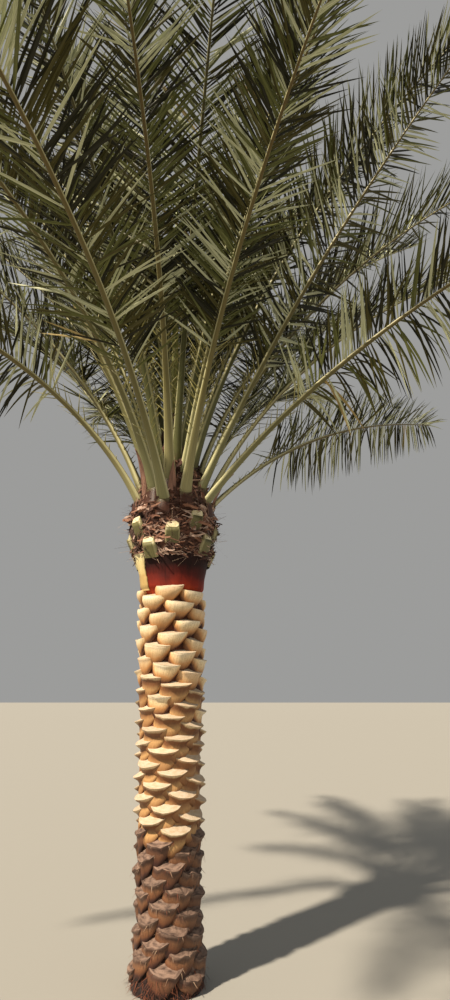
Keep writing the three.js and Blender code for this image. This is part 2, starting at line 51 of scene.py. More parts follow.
# Trunk: it leans to the left by this share of its height; then height and radius, in the creases between
# the cut bases and over the head
LEAN = -0.012
CORE_PROFILE = [
    (0, 186), (60, 172), (180, 153), (370, 146), (700, 152), (1240, 154), (1700, 156), (1925, 158),
]
HEAD_PROFILE = [(1865, 130), (1955, 184), (2020, 190), (2130, 214), (2210, 234), (2310, 247), (2385, 245)]
CONE_FOOT = (2430, 235)
CONE_TIP = (3000, 55)
HEART = (3060, 34)
HEAD_SHAPE = HEAD_PROFILE + [CONE_FOOT, CONE_TIP, HEART]
# the smooth sheath band lies between these heights
BAND = (1896, 2150)

# Cut leaf bases: one spiral from the sheath band down to the foot. The lip of base 0 is at the top height,
# its crease lies above it, and each next one is a step lower
BOOT_TOP = 1994
LIP_DROP = 34
BOOT_STEP = 12.7
BOOT_AZIMUTH = 176
FIRST_BOOT = -2
LAST_BOOT = 157
# only creases between these heights carry a base, and only those above the last one are fresh
LOWEST_BOOT = 95
HIGHEST_BOOT = 1980
FRESH_ABOVE = 740
# how far a base is turned back from its place on the spiral, and how far its foot drifts from its lip
BOOT_OFFSET = 5
BOOT_DRIFT = -10
# of the full bowls above and of the shelves below: half the arc that a base spans, and its length
BOOT_HALF_TURN = (30, 33)
BOOT_LENGTH = (112, 132)
# how far a cut slants down from its crease to its lip, by its height
CUT_DROP = [(0, 40), (700, 34), (760, 38), (1150, 28), (1500, 20), (1960, 12), (1978, 40)]
# how far a base is undercut, by its height: 0 is a full bowl and 1 a shelf with a flatter hump below
SHELF = [(0, 0.4), (720, 0.5), (780, 1.0), (1200, 0.9), (1450, 0.5), (1700, 0.12), (1950, 0)]
# between these heights the shelves give way to bowls
SHELVES_BELOW = (1280, 1560)
# how far the shelf and the hump stand out, from the lip down to the foot
SHELF_STAND = [
    (0, 1), (0.05, 0.88), (0.13, 0.5), (0.22, 0.3), (0.36, 0.28),
    (0.55, 0.37), (0.75, 0.36), (0.9, 0.2), (1, 0),
]
# how far a base stands out, how rough its edge, its cut and its skin are, how its cut may tilt,
# how unevenly it reaches out, and how much further on one side
FRESH_BASE = {
    "stand": 44, "ragged": 0.7, "rough": 0.35, "lumps": 1.6,
    "tilt": (-8, 8), "uneven": 0.02, "lopsided": 0,
}
WORN_BASE = {
    "stand": 34, "ragged": 2.8, "rough": 1.1, "lumps": 3.0,
    "tilt": (-4, 20), "uneven": 0.06, "lopsided": 0.22,
}
# points of a base: across it, where the outermost are sunk in the stem, into its cut, and down its skin
BOOT_ACROSS = np.array([-1.05, -1, -0.93, -0.8, -0.6, -0.35, -0.1, 0.15, 0.4, 0.63, 0.82, 0.94, 1, 1.05])
BOOT_INSIDE = np.clip(BOOT_ACROSS, -1, 1)
BOOT_SUNK = np.abs(BOOT_ACROSS) > 1
SUNK_BY = 9
CUT_INWARD = np.array([1, 0.75, 0.5, 0.28, 0.1, 0.02, 0])[:, None]
SKIN_DOWN = np.array([
    0, 0.02, 0.05, 0.09, 0.13, 0.18, 0.24, 0.32, 0.42, 0.52, 0.64, 0.76, 0.88, 1.0,
])[:, None]
# on the grain map the bases lie a metre apart, each one about its half metre
GRAIN_STEP = 1000
BOOT_GRAIN_HALF = 75
CUT_GRAIN = 60
# how hollow a cut is, and how far a bowl bellies out
CUT_DISH = 2.2
BOOT_BELLY = 4.0

# Threads: so many on each weathered lip, round the foot of the trunk and on the head
LIP_THREADS = {"count": 9, "length": (10, 42), "width": (1.2, 5)}
FOOT_THREADS = {"count": 420, "height": (4, 110), "length": (20, 80), "width": (1.5, 6)}
HEAD_THREADS = {"count": 520, "height": (2110, 2640), "length": (40, 150), "width": (1.0, 2.4)}

# Fronds: where two values stand together, they are of the youngest at the heart and of the oldest
FROND_COUNT = 39
FIRST_AZIMUTH = -63.3
FOOT_RISE = (86, 57)
TIP_RISE = (55, 12)
LEAFLET_DROOP = (0.1, 2)
DROOP_POWER = 4
LONGEST = 3100
SHORTEST = 2500
# how soon along its length a rib bends, and the share of it by which its twist is complete
BEND_POWER = 0.8
TWISTED_BY = 0.4
# how far chance moves a frond, in all
FROND_SCATTER = {"azimuth": 8, "foot_rise": 5, "tip_rise": 10, "swing": 12}
# ages, from 0 at the heart to 1: from this one on a frond is full grown
FULL_GROWN = 0.33
# below the first of these a rib is darker, as painted shade for the inner stalks under the outer fronds,
# and above the second its stalk clasps the head
INNER_SHADE_AGE = 0.42
OUTER_AGE = 0.55
# rank: azimuth, rise at the foot and at the tip, swing, twist of the blade, droop of its leaflets
KNOWN_KEYS = ("azimuth", "foot_rise", "tip_rise", "swing", "twist", "droop")
KNOWN_FRONDS = {
    15: (-159, 71, 43, 3, 0, 0.1), 27: (63, 63, 48, 1, -20, 0.4), 28: (-173.5, 52.5, 61, 7, 0, 0.3),
    29: (-30, 65, -1.5, 0, 0, 0.15), 31: (-125, 66, 25, 1, 0, 0.5), 32: (24, 70, 18, -2, 0, 0.15),
    34: (-66, 60, -10, 0, 40, 3.4), 35: (67, 49, 10, -8, -35, 2.6), 37: (-9, 43, -10, -2, 0, 0.25),
    38: (134, 45.6, 10.4, -8.5, -40, 1.1),
}

# Ribs: width and depth by share of the length, and half the width of every rib on its grain map
RIB_WIDTH = [(0, 76), (0.05, 56), (0.2, 35), (0.5, 22), (0.8, 12), (1, 7)]
RIB_DEPTH = [(0, 40), (0.05, 34), (0.2, 26), (0.5, 18), (0.8, 10), (1, 6)]
RIB_EDGE = 40
RIB_TIP = 22
# how high its flat face and how deep its keel reach, by share of the depth, and how round each is
RIB_FACE = (0.34, 0.6)
RIB_KEEL = (-0.64, 1.15)
# the clasping foot of a stalk: how far it runs up behind the stalk and down over the head, its width
# where it ends, and its thickness, thin at the top so that it runs into the stalk without a step
SHEATH_RISE = 34
SHEATH_RUN = 105
SHEATH_WIDTH = 96
SHEATH_THICK = [(0, 1.5), (0.25, 14), (1, 7)]

# Spines, as far as the first leaflet: how long the first and the last are
FIRST_SPINE = 0.09
SPINES = 11
SPINE_LENGTH = (45, 190)
SPINE_THICK = 3.5
SPINE_LEAN = (38, 55)
SPINE_LIFT = (5, 40)

# Leaflets: the longest are near the middle of a leaf, the widest at its foot
FIRST_LEAFLET = 0.26
LEAFLETS_A_SIDE = 154
LEAFLETS_A_CLUSTER = 3
LEAFLET_LONGEST = 430
LEAFLET_SHORTEST = 210
LEAFLET_WIDTH = (20, 14)
LEAFLET_SEGMENTS = 6
# how they rise from the leaf's plane, the ways in which a cluster fans, the scatter about all that,
# and how they lean ahead by share of the leaf's length
LEAFLET_RISE = 27
LEAFLET_FAN = [-22, -6, 10, 26]
LEAFLET_SCATTER = 6.5
LEAFLET_LEAN = [(0.2, 28), (0.85, 44), (1, 70)]
LEAFLET_TWIST = 22
# a blade's fold, and the share of its droop that bends it, at its root and at its tip
LEAFLET_FOLD = (38, 16)
LEAFLET_BEND = (0.55, 1.45)
# the droop sets in between these shares of a leaf's length
HANG = (0.2, 0.42)
# how often a cluster is grey green, olive, deep (partly painted shade), pale (partly painted highlight) or
# dry, and how many leaflets differ from theirs
SPRAY_WEIGHTS = (0.25, 0.25, 0.27, 0.225, 0.005)
OWN_TONE = 0.25

# Stalks that were cut long: rings from the root to the cut, as the way back from the cut and their share
STUB_COUNT = 14
STUB_TOP = 2390
STUB_STEP = 15.5
STUB = {"width": 78, "depth": 36, "length": 52, "root": 66, "rise": 64, "stand": 0.7}
STUB_RINGS = [
    (STUB["length"] + STUB["root"], 1.12), (STUB["length"], 1.06), (STUB["length"] * 0.5, 1.0),
    (10, 0.94), (2, 0.92), (0, 0.88),
]

# Dry flower sheaths: name, azimuth, height of the foot, length, rise
SPATHES = [
    ("spathe_left", -47, 2478, 290, 84),
    ("spathe_front", 3, 2478, 190, 80),
    ("spathe_right", 84, 2440, 260, 70),
]
SPATHE = {"width": 44, "depth": 12, "thick": 2.0, "root": 30, "swing": 10, "bend": 32}
TORN_BASE = {
    "azimuth": -60, "swing": 8, "top": 2142, "bottom": 1934,
    "top_width": 118, "bottom_width": 66, "thick": 12, "ridge": 4, "gap": 0.6,
}
SPEAR = {"length": 1850, "radius": 24, "lean": 2.5, "azimuth": 200}
SPEAR_TAPER = [(0, 0.8), (0.15, 1), (0.5, 0.72), (0.85, 0.34), (1, 0.08)]

# Torn scraps of fibre cloth: all over the head, in a paler girdle, in folds and in a fringe over the band
# kind: how many, lengths, widths, outward slope, steepness, shares of the dark, brown and bleached cloth
RAGS = {
    "all over": (1150, (30, 95), (5, 24), (0.0, 0.5), 1.2, (0.58, 0.34, 0.08)),
    "girdle": (420, (22, 70), (5, 17), (0.0, 0.7), 0.9, (0.35, 0.4, 0.25)),
    "folds": (170, (50, 120), (14, 32), (0.05, 0.45), 0.3, (0.25, 0.4, 0.35)),
    "fringe": (260, (25, 80), (4, 14), (0.0, 0.45), 0.5, (0.1, 0.35, 0.55)),
}
# where they hang: the girdle's are crowded about a height, and kept within two others
RAG_HEIGHTS = {"all over": (2150, 2760), "folds": (2140, 2440), "fringe": (2120, 2170)}
GIRDLE = (2265, 60)
GIRDLE_REACH = (2140, 2420)

# Stage: the camera's place is in metres, and its focal length in pixels of a frame of this height
CAMERA_PLACE = (0.285, -3.616, 1.45)
CAMERA_TILT = 16.19
FOCAL_PIXELS = 620
FRAME_HEIGHT = 1000
SENSOR = 36
FLOOR_HALF = 40000
SKY_STRENGTH = 0.42
# name, strength, width of the sun, azimuth, rise, colour
LIGHTS = [
    ("key_light", 7.1, 2.5, -46, 49, "#fff0d9"),
    ("fill_light", 0.15, 60, 70, 25, "#f2f0ea"),
]


# Sums that the whole palm shares

DRAW_STEP = 16807
DRAW_RANGE = 2147483647


def seeded(seed):
    """Draws numbers between 0 and 1 as the model that this dresses draws them."""
    state = seed

    def draw():
        nonlocal state
        state = state * DRAW_STEP % DRAW_RANGE
        return state / DRAW_RANGE

    return draw


def lerp(a, b, share):
    return a + (b - a) * share


def along(rows, place):
    """The value at this place, from rows of a place and its value."""
    return np.interp(place, [row[0] for row in rows], [row[1] for row in rows])


def unit(vectors):
    return vectors / np.maximum(np.linalg.norm(vectors, axis=-1, keepdims=True), 1e-9)


def crease_radius(height):
    return along(CORE_PROFILE, height)


def head_radius(height):
    return along(HEAD_SHAPE, height)


def on_trunk(azimuth, radius, height):
    """Points this far from the trunk's leaning middle line."""
    azimuth, radius, height = np.broadcast_arrays(azimuth, radius, height)
    turn = np.radians(azimuth)
    return np.stack([LEAN * height + radius * np.sin(turn), -radius * np.cos(turn), height * 1.0], -1)


def level_outward(point):
    """The level direction away from the trunk, close enough for scraps and threads."""
    return unit(point * [1, 1, 0])


def aimed(azimuth, rise):
    """Directions ahead, sideways and upwards of something that points this way."""
    turn, lift = np.radians(azimuth), np.radians(rise)
    flat = np.cos(lift)
    ahead = np.stack([flat * np.sin(turn), -flat * np.cos(turn), np.sin(lift)], -1)
    side = np.stack([np.cos(turn), np.sin(turn), np.zeros_like(turn)], -1)
    return ahead, side, unit(np.cross(ahead, side))


def path_of(start, heading, length):
    """Points from the start on, along these headings, over this length in all."""
    steps = len(heading) - 1
    return start + np.vstack([np.zeros(3), np.cumsum(heading[:-1] * length / steps, axis=0)])


def full_turn(sides):
    return np.arange(sides) / sides * 2 * math.pi


def round_trunk(around, heights):
    """Azimuths and heights of a skin that goes all round the trunk."""
    return np.meshgrid(np.arange(around) / around * 360, heights)


def ripple(points, size, seed):
    """A smooth uneven field between about -1 and 1, a few sums of waves about this long."""
    rng = np.random.default_rng(seed)
    total = np.zeros(points.shape[:-1])
    for octave in range(3):
        for _ in range(5):
            wave = rng.normal(size=3) * 2 * math.pi / size * 2 ** octave / 1.7
            total += np.sin(points @ wave + rng.uniform(0, 2 * math.pi)) / 2 ** octave
    return total / 4


# Meshes

def grid_faces(rows, columns, closed=False):
    faces = []
    last = columns if closed else columns - 1
    for row in range(rows - 1):
        low, high = row * columns, (row + 1) * columns
        for column in range(last):
            beside = (column + 1) % columns
            faces.append((low + column, low + beside, high + beside, high + column))
    return faces


def tube_faces(rows, columns, foot=True):
    """A grid that closes on itself, with its last ring shut, and its first one too."""
    faces = grid_faces(rows, columns, closed=True)
    if foot:
        faces.append(tuple(reversed(range(columns))))
    faces.append(tuple((rows - 1) * columns + column for column in range(columns)))
    return faces


def turned_over(faces):
    return [tuple(reversed(face)) for face in faces]


def rings_along(line, side, over, across, lift):
    """Rings of points on a line, set off sideways and upwards by these distances."""
    return line[:, None] + side[:, None] * across[..., None] + over[:, None] * lift[..., None]


def grain_of(across, run):
    """Each point's place on the grain map: across the grain, then along it."""
    return np.stack(np.broadcast_arrays(across, run), -1)


def sweep_grain(rings):
    """Grain map of a skin through rings: round the section, then along."""
    middle = rings.mean(1)
    run = np.concatenate([[0], np.cumsum(np.linalg.norm(np.diff(middle, axis=0), axis=1))])
    sides = rings.shape[1]
    girth = np.linalg.norm(np.diff(rings[0], axis=0), axis=1).sum()
    return grain_of(np.arange(sides)[None, :] / sides * girth, run[:, None])


def make_piece(name, points, faces, finishes, nodes, uv, finish_of, smooth):
    """One object from points in millimetres, riding on the palm and standing for these nodes."""
    mesh = bpy.data.meshes.new(name)
    mesh.from_pydata((points * MM).tolist(), [], faces)
    for finish in finishes:
        mesh.materials.append(finish)
    mesh.polygons.foreach_set("material_index", np.asarray(finish_of, np.int32))
    if smooth:
        mesh.polygons.foreach_set("use_smooth", np.ones(len(faces), bool))
    corner = np.zeros(len(mesh.loops), np.int32)
    mesh.loops.foreach_get("vertex_index", corner)
    layer = mesh.uv_layers.new(name="grain")
    layer.data.foreach_set("uv", (uv[corner] * MM).ravel())
    mesh.update()
    piece = bpy.data.objects.new(name, mesh)
    bpy.context.scene.collection.objects.link(piece)
    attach(piece, BODY)
    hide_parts(*nodes)


class Heap:
    """Many small meshes gathered into one."""

    def __init__(self):
        self.points, self.faces, self.uv, self.finish_of = [], [], [], []
        self.count = 0

    def add(self, points, faces, uv, finish=0):
        points = np.asarray(points, float).reshape(-1, 3)
        self.points.append(points)
        self.uv.append(np.asarray(uv, float).reshape(-1, 2))
        self.faces.extend(tuple(self.count + i for i in face) for face in faces)
        self.finish_of.extend([finish] * len(faces) if np.isscalar(finish) else finish)
        self.count += len(points)

    def make(self, name, finishes, slot, nodes, smooth=True):
        points, uv = np.concatenate(self.points), np.concatenate(self.uv)
        make_piece(name, points, self.faces, finishes, nodes, uv, self.finish_of, smooth)


# Finishes

def linear(hex_colour):
    """An sRGB hex value as the linear colour that shaders take."""
    parts = [int(hex_colour[i:i + 2], 16) / 255 for i in (1, 3, 5)]
    return tuple(p / 12.92 if p <= 0.04045 else ((p + 0.055) / 1.055) ** 2.4 for p in parts) + (1.0,)


def set_inputs(tree, node, inputs):
    """An input that is a socket is linked, any other is its value."""
    for key, value in inputs.items():
        if isinstance(value, bpy.types.NodeSocket):
            tree.links.new(value, node.inputs[key])
        else:
            node.inputs[key].default_value = value


def add(tree, kind, inputs=None, stops=None, **settings):
    """Adds a node with its settings, its inputs and, for a ramp, its colour stops."""
    made = tree.nodes.new(kind)
    for key, value in settings.items():
        setattr(made, key, value)
    set_inputs(tree, made, inputs or {})
    if stops:
        ramp = made.color_ramp
        while len(ramp.elements) < len(stops):
            ramp.elements.new(0.5)
        for element, (place, colour) in zip(ramp.elements, stops):
            element.position = place
            element.color = linear(colour)
    return made


def new_finish(name, roughness, ior, **sockets):
    """A material with its surface shader, ready for a colour and a bump."""
    finish = bpy.data.materials.new(name)
    finish.use_nodes = True
    tree = finish.node_tree
    shader = tree.nodes["Principled BSDF"]
    set_inputs(tree, shader, {"Roughness": roughness, "IOR": ior})
    set_inputs(tree, shader, {key.replace("_", " "): value for key, value in sockets.items()})
    return finish, tree, shader


def per_mm(across, along_grain=None):
    """Pattern scale, for coordinates in metres, whose features are about this many millimetres."""
    return (1 / (across * MM), 1 / ((along_grain or across) * MM), 1)


# Palm leaflet: a living blade dulled by a waxy bloom, ribbed lengthwise, so that it shines only faintly
def waxy_leaflet(name, colour, shade):
    finish, tree, shader = new_finish(name, 0.45, 1.45, Specular_IOR_Level=0.25)
    grain = add(tree, "ShaderNodeUVMap", uv_map="grain").outputs["UV"]
    # veins lie about 0.5 mm apart, drawn at 2.4 mm so that they show
    drawn = add(tree, "ShaderNodeMapping", {"Vector": grain, "Scale": per_mm(2.4, 160)})
    veins = add(tree, "ShaderNodeTexNoise", {
        "Vector": drawn.outputs["Vector"], "Scale": 1.0, "Detail": 2.0, "Roughness": 0.5})
    tone = add(tree, "ShaderNodeValToRGB", {"Fac": veins.outputs["Fac"]},
               stops=[(0.3, shade), (0.68, colour)])
    bump = add(tree, "ShaderNodeBump", {"Height": veins.outputs["Fac"], "Distance": 0.35 * MM})
    set_inputs(tree, shader, {"Base Color": tone.outputs["Color"], "Normal": bump.outputs["Normal"]})
    return finish


# Dead leaflet: dried in the sun to a dull straw
def dry_leaflet():
    finish, tree, shader = new_finish("dry_leaflet_straw", 0.75, 1.45)
    grain = add(tree, "ShaderNodeUVMap", uv_map="grain").outputs["UV"]
    # fibres lie about 0.5 mm apart, drawn at 2 mm so that they show
    drawn = add(tree, "ShaderNodeMapping", {"Vector": grain, "Scale": per_mm(2, 90)})
    fibre = add(tree, "ShaderNodeTexNoise", {
        "Vector": drawn.outputs["Vector"], "Scale": 1.0, "Detail": 2.0})
    tone = add(tree, "ShaderNodeValToRGB", {"Fac": fibre.outputs["Fac"]},
               stops=[(0.3, "#7d6a3e"), (0.7, "#bda970")])
    bump = add(tree, "ShaderNodeBump", {"Height": fibre.outputs["Fac"], "Distance": 0.4 * MM})
    set_inputs(tree, shader, {"Base Color": tone.outputs["Color"], "Normal": bump.outputs["Normal"]})
    return finish


# Leaf rib: smooth woody stalk under a satin olive skin, finely streaked, with pale yellow margins that are
# partly its own paler edges and partly painted highlight.
# Below its foot, where the fibre holds it, the skin has turned brown.
def rib_skin(name, foot, middle, tip, margin_and_highlight="#d2cea2"):
    finish, tree, shader = new_finish(name, 0.45, 1.47, Specular_IOR_Level=0.35)
    grain = add(tree, "ShaderNodeUVMap", uv_map="grain").outputs["UV"]
    place = add(tree, "ShaderNodeSeparateXYZ", {"Vector": grain})
    share = add(tree, "ShaderNodeMapRange", {
        "Value": place.outputs["Y"], "From Min": -SHEATH_RUN * MM, "From Max": LONGEST * MM * 0.6})
    ground = add(tree, "ShaderNodeValToRGB", {"Fac": share.outputs["Result"]},
                 stops=[(0.015, "#4a2a1c"), (0.06, foot), (0.35, middle), (1.0, tip)])
    # the streaks in the skin are 3 to 4 mm wide and a few hundred long
    drawn = add(tree, "ShaderNodeMapping", {"Vector": grain, "Scale": per_mm(3.5, 240)})
    streak = add(tree, "ShaderNodeTexNoise", {
        "Vector": drawn.outputs["Vector"], "Scale": 1.0, "Detail": 3.0})
    depth = add(tree, "ShaderNodeMapRange", {
        "Value": streak.outputs["Fac"], "From Min": 0.3, "From Max": 0.75, "To Min": 0.68, "To Max": 1.14})
    colour = add(tree, "ShaderNodeMixRGB", {
        "Fac": 1.0, "Color1": ground.outputs["Color"], "Color2": depth.outputs["Result"],
    }, blend_type="MULTIPLY")
    # pale along both edges: partly the stalk's own paler margin, partly painted highlight where its sides
    # catch the light
    sideways = add(tree, "ShaderNodeMath", {0: place.outputs["X"]}, operation="ABSOLUTE")
    edge = add(tree, "ShaderNodeMapRange", {
        "Value": sideways.outputs[0],
        "From Min": RIB_EDGE * MM * 0.74, "From Max": RIB_EDGE * MM, "To Max": 0.85})
    final = add(tree, "ShaderNodeMixRGB", {
        "Fac": edge.outputs["Result"], "Color1": colour.outputs["Color"], "Color2": linear(margin_and_highlight)})
    bump = add(tree, "ShaderNodeBump", {"Height": streak.outputs["Fac"], "Distance": 0.5 * MM})
    set_inputs(tree, shader, {"Base Color": final.outputs["Color"], "Normal": bump.outputs["Normal"]})
    return finish


# Spine: a leaflet hardened to a point, straw-green and bone-smooth
def spine_horn():
    finish, tree, shader = new_finish("spine_horn", 0.35, 1.5)
    grain = add(tree, "ShaderNodeUVMap", uv_map="grain").outputs["UV"]
    drawn = add(tree, "ShaderNodeMapping", {"Vector": grain, "Scale": per_mm(6, 60)})
    blotch = add(tree, "ShaderNodeTexNoise", {
        "Vector": drawn.outputs["Vector"], "Scale": 1.0, "Detail": 1.0})
    tone = add(tree, "ShaderNodeValToRGB", {"Fac": blotch.outputs["Fac"]},
               stops=[(0.35, "#6e6a32"), (0.65, "#b3aa6a")])
    set_inputs(tree, shader, {"Base Color": tone.outputs["Color"]})
    return finish


def random_by_boot(tree, grain):
    """A value for each cut base: the whole metres of the grain map tell them apart."""
    place = add(tree, "ShaderNodeSeparateXYZ", {"Vector": grain})
    metres = add(tree, "ShaderNodeMath", {0: place.outputs["X"]}, operation="FLOOR")
    chance = add(tree, "ShaderNodeTexWhiteNoise", {"W": metres.outputs[0]}, noise_dimensions="1D")
    return chance.outputs["Value"]


# Cut palm wood: sawn across, cream, dotted with the brown ends of its fibre bundles, matt, a little furry
def cut_palm_wood(name, pale, deep, dot):
    finish, tree, shader = new_finish(name, 0.78, 1.45)
    grain = add(tree, "ShaderNodeUVMap", uv_map="grain").outputs["UV"]
    # the cut dries in patches of about 26 by 14 mm
    spread = add(tree, "ShaderNodeMapping", {"Vector": grain, "Scale": per_mm(26, 14)})
    cloud = add(tree, "ShaderNodeTexNoise", {
        "Vector": spread.outputs["Vector"], "Scale": 1.0, "Detail": 3.0})
    ground = add(tree, "ShaderNodeValToRGB", {"Fac": cloud.outputs["Fac"]},
                 stops=[(0.32, deep), (0.62, pale)])
    # bundle ends are about 1 mm across, drawn at 4 mm so that they show
    dotted = add(tree, "ShaderNodeMapping", {"Vector": grain, "Scale": per_mm(4.2)})
    ends = add(tree, "ShaderNodeTexVoronoi", {"Vector": dotted.outputs["Vector"], "Scale": 1.0})
    speck = add(tree, "ShaderNodeMapRange", {
        "Value": ends.outputs["Distance"],
        "From Min": 0.12, "From Max": 0.3, "To Min": 0.55, "To Max": 0.0})
    colour = add(tree, "ShaderNodeMixRGB", {
        "Fac": speck.outputs["Result"], "Color1": ground.outputs["Color"], "Color2": linear(dot)})
    tone = add(tree, "ShaderNodeMapRange", {
        "Value": random_by_boot(tree, grain), "To Min": 0.84, "To Max": 1.04})
    final = add(tree, "ShaderNodeMixRGB", {
        "Fac": 1.0, "Color1": colour.outputs["Color"], "Color2": tone.outputs["Result"],
    }, blend_type="MULTIPLY")
    bump = add(tree, "ShaderNodeBump", {"Height": ends.outputs["Distance"], "Distance": 0.8 * MM})
    set_inputs(tree, shader, {"Base Color": final.outputs["Color"], "Normal": bump.outputs["Normal"]})
    return finish


def zone_on_base(tree, grain, sides):
    """Share of a base's length below its cut, wandering a little, and greater towards its sides, so that
    painted shade darkens the gaps between the bases.
    """
    place = add(tree, "ShaderNodeSeparateXYZ", {"Vector": grain})
    # the zones, tan and painted shade alike, wander in patches of about 45 by 70 mm
    spread = add(tree, "ShaderNodeMapping", {"Vector": grain, "Scale": per_mm(45, 70)})
    wander = add(tree, "ShaderNodeTexNoise", {
        "Vector": spread.outputs["Vector"], "Scale": 1.0, "Detail": 3.0})
    shift = add(tree, "ShaderNodeMapRange", {
        "Value": wander.outputs["Fac"], "To Min": -0.16, "To Max": 0.16})
    down = add(tree, "ShaderNodeMath", {
        0: place.outputs["Y"], 1: 1 / (BOOT_LENGTH[1] * MM), 2: shift.outputs["Result"],
    }, operation="MULTIPLY_ADD")
    # bases lie a metre apart on the grain map, each one about its half metre, 150 mm wide
    metres = add(tree, "ShaderNodeMath", {0: place.outputs["X"]}, operation="FRACT")
    off = add(tree, "ShaderNodeMath", {0: metres.outputs[0], 1: 0.5}, operation="SUBTRACT")
    away = add(tree, "ShaderNodeMath", {0: off.outputs[0]}, operation="ABSOLUTE")
    # towards its sides a base darkens, as painted shade in the gaps between neighbours
    painted_shade_at_sides = add(tree, "ShaderNodeMapRange", {
        "Value": away.outputs[0], "From Min": 40 * MM, "From Max": 78 * MM, "To Max": sides})
    return add(tree, "ShaderNodeMath", {0: down.outputs[0], 1: painted_shade_at_sides.outputs["Result"]}).outputs[0]


# Leaf base skin: once green, now tanned, coloured in zones from its cut down to where it was hidden; on
# the cut bases the darker zones are painted shade under the overhang and in the creases
def leaf_base_skin(name, zones, blemish, sides=0.0):
    """The zones, and the painted shade among them, also run down towards the sides of a base, by this
    share of its length.
    """
    finish, tree, shader = new_finish(name, 0.55, 1.46, Coat_Weight=0.06, Coat_Roughness=0.4)
    grain = add(tree, "ShaderNodeUVMap", uv_map="grain").outputs["UV"]
    ground = add(tree, "ShaderNodeValToRGB", {"Fac": zone_on_base(tree, grain, sides)}, stops=zones)
    # the fibres under the skin show as streaks about 3 mm wide
    drawn = add(tree, "ShaderNodeMapping", {"Vector": grain, "Scale": per_mm(3.2, 60)})
    streak = add(tree, "ShaderNodeTexNoise", {
        "Vector": drawn.outputs["Vector"], "Scale": 1.0, "Detail": 3.0})
    fine = add(tree, "ShaderNodeMapRange", {
        "Value": streak.outputs["Fac"], "From Min": 0.3, "From Max": 0.7, "To Min": 0.74, "To Max": 1.1})
    tinted = add(tree, "ShaderNodeMixRGB", {
        "Fac": 1.0, "Color1": ground.outputs["Color"], "Color2": fine.outputs["Result"],
    }, blend_type="MULTIPLY")
    # nicks of the knife and bruises, about 9 by 5 mm
    nicked = add(tree, "ShaderNodeMapping", {"Vector": grain, "Scale": per_mm(9, 5)})
    nick = add(tree, "ShaderNodeTexNoise", {
        "Vector": nicked.outputs["Vector"], "Scale": 1.0, "Detail": 1.0})
    mark = add(tree, "ShaderNodeMapRange", {
        "Value": nick.outputs["Fac"], "From Min": 0.6, "From Max": 0.7, "To Max": 0.42})
    marked = add(tree, "ShaderNodeMixRGB", {
        "Fac": mark.outputs["Result"], "Color1": tinted.outputs["Color"], "Color2": linear(blemish)})
    # some bases are duller than others
    dull = add(tree, "ShaderNodeMapRange", {
        "Value": random_by_boot(tree, grain), "From Min": 0.4, "To Min": 0.0, "To Max": 0.5})
    final = add(tree, "ShaderNodeMixRGB", {
        "Fac": dull.outputs["Result"], "Color1": marked.outputs["Color"], "Color2": linear(zones[-2][1])})
    bump = add(tree, "ShaderNodeBump", {"Height": streak.outputs["Fac"], "Distance": 0.9 * MM})
    set_inputs(tree, shader, {"Base Color": final.outputs["Color"], "Normal": bump.outputs["Normal"]})
    return finish


# Palm fibre: the dry coarse cloth between leaf bases, matt, deep brown with paler worn threads
def palm_fibre(name, dark, light):
    finish, tree, shader = new_finish(name, 0.9, 1.45, Sheen_Weight=0.1)
    grain = add(tree, "ShaderNodeUVMap", uv_map="grain").outputs["UV"]
    # threads are about 0.5 mm thick, drawn at 3 mm so that they show
    drawn = add(tree, "ShaderNodeMapping", {"Vector": grain, "Scale": per_mm(3, 66)})
    fibre = add(tree, "ShaderNodeTexNoise", {
        "Vector": drawn.outputs["Vector"], "Scale": 1.0, "Detail": 4.0, "Roughness": 0.6})
    # it is worn in patches of about 60 by 80 mm
    spread = add(tree, "ShaderNodeMapping", {"Vector": grain, "Scale": per_mm(60, 80)})
    cloud = add(tree, "ShaderNodeTexNoise", {
        "Vector": spread.outputs["Vector"], "Scale": 1.0, "Detail": 2.0})
    both = add(tree, "ShaderNodeMath", {
        0: fibre.outputs["Fac"], 1: 0.6, 2: cloud.outputs["Fac"]}, operation="MULTIPLY_ADD")
    tone = add(tree, "ShaderNodeValToRGB", {"Fac": both.outputs[0]}, stops=[(0.6, dark), (1.0, light)])
    bump = add(tree, "ShaderNodeBump", {"Height": fibre.outputs["Fac"], "Distance": 1.6 * MM})
    set_inputs(tree, shader, {"Base Color": tone.outputs["Color"], "Normal": bump.outputs["Normal"]})
    return finish
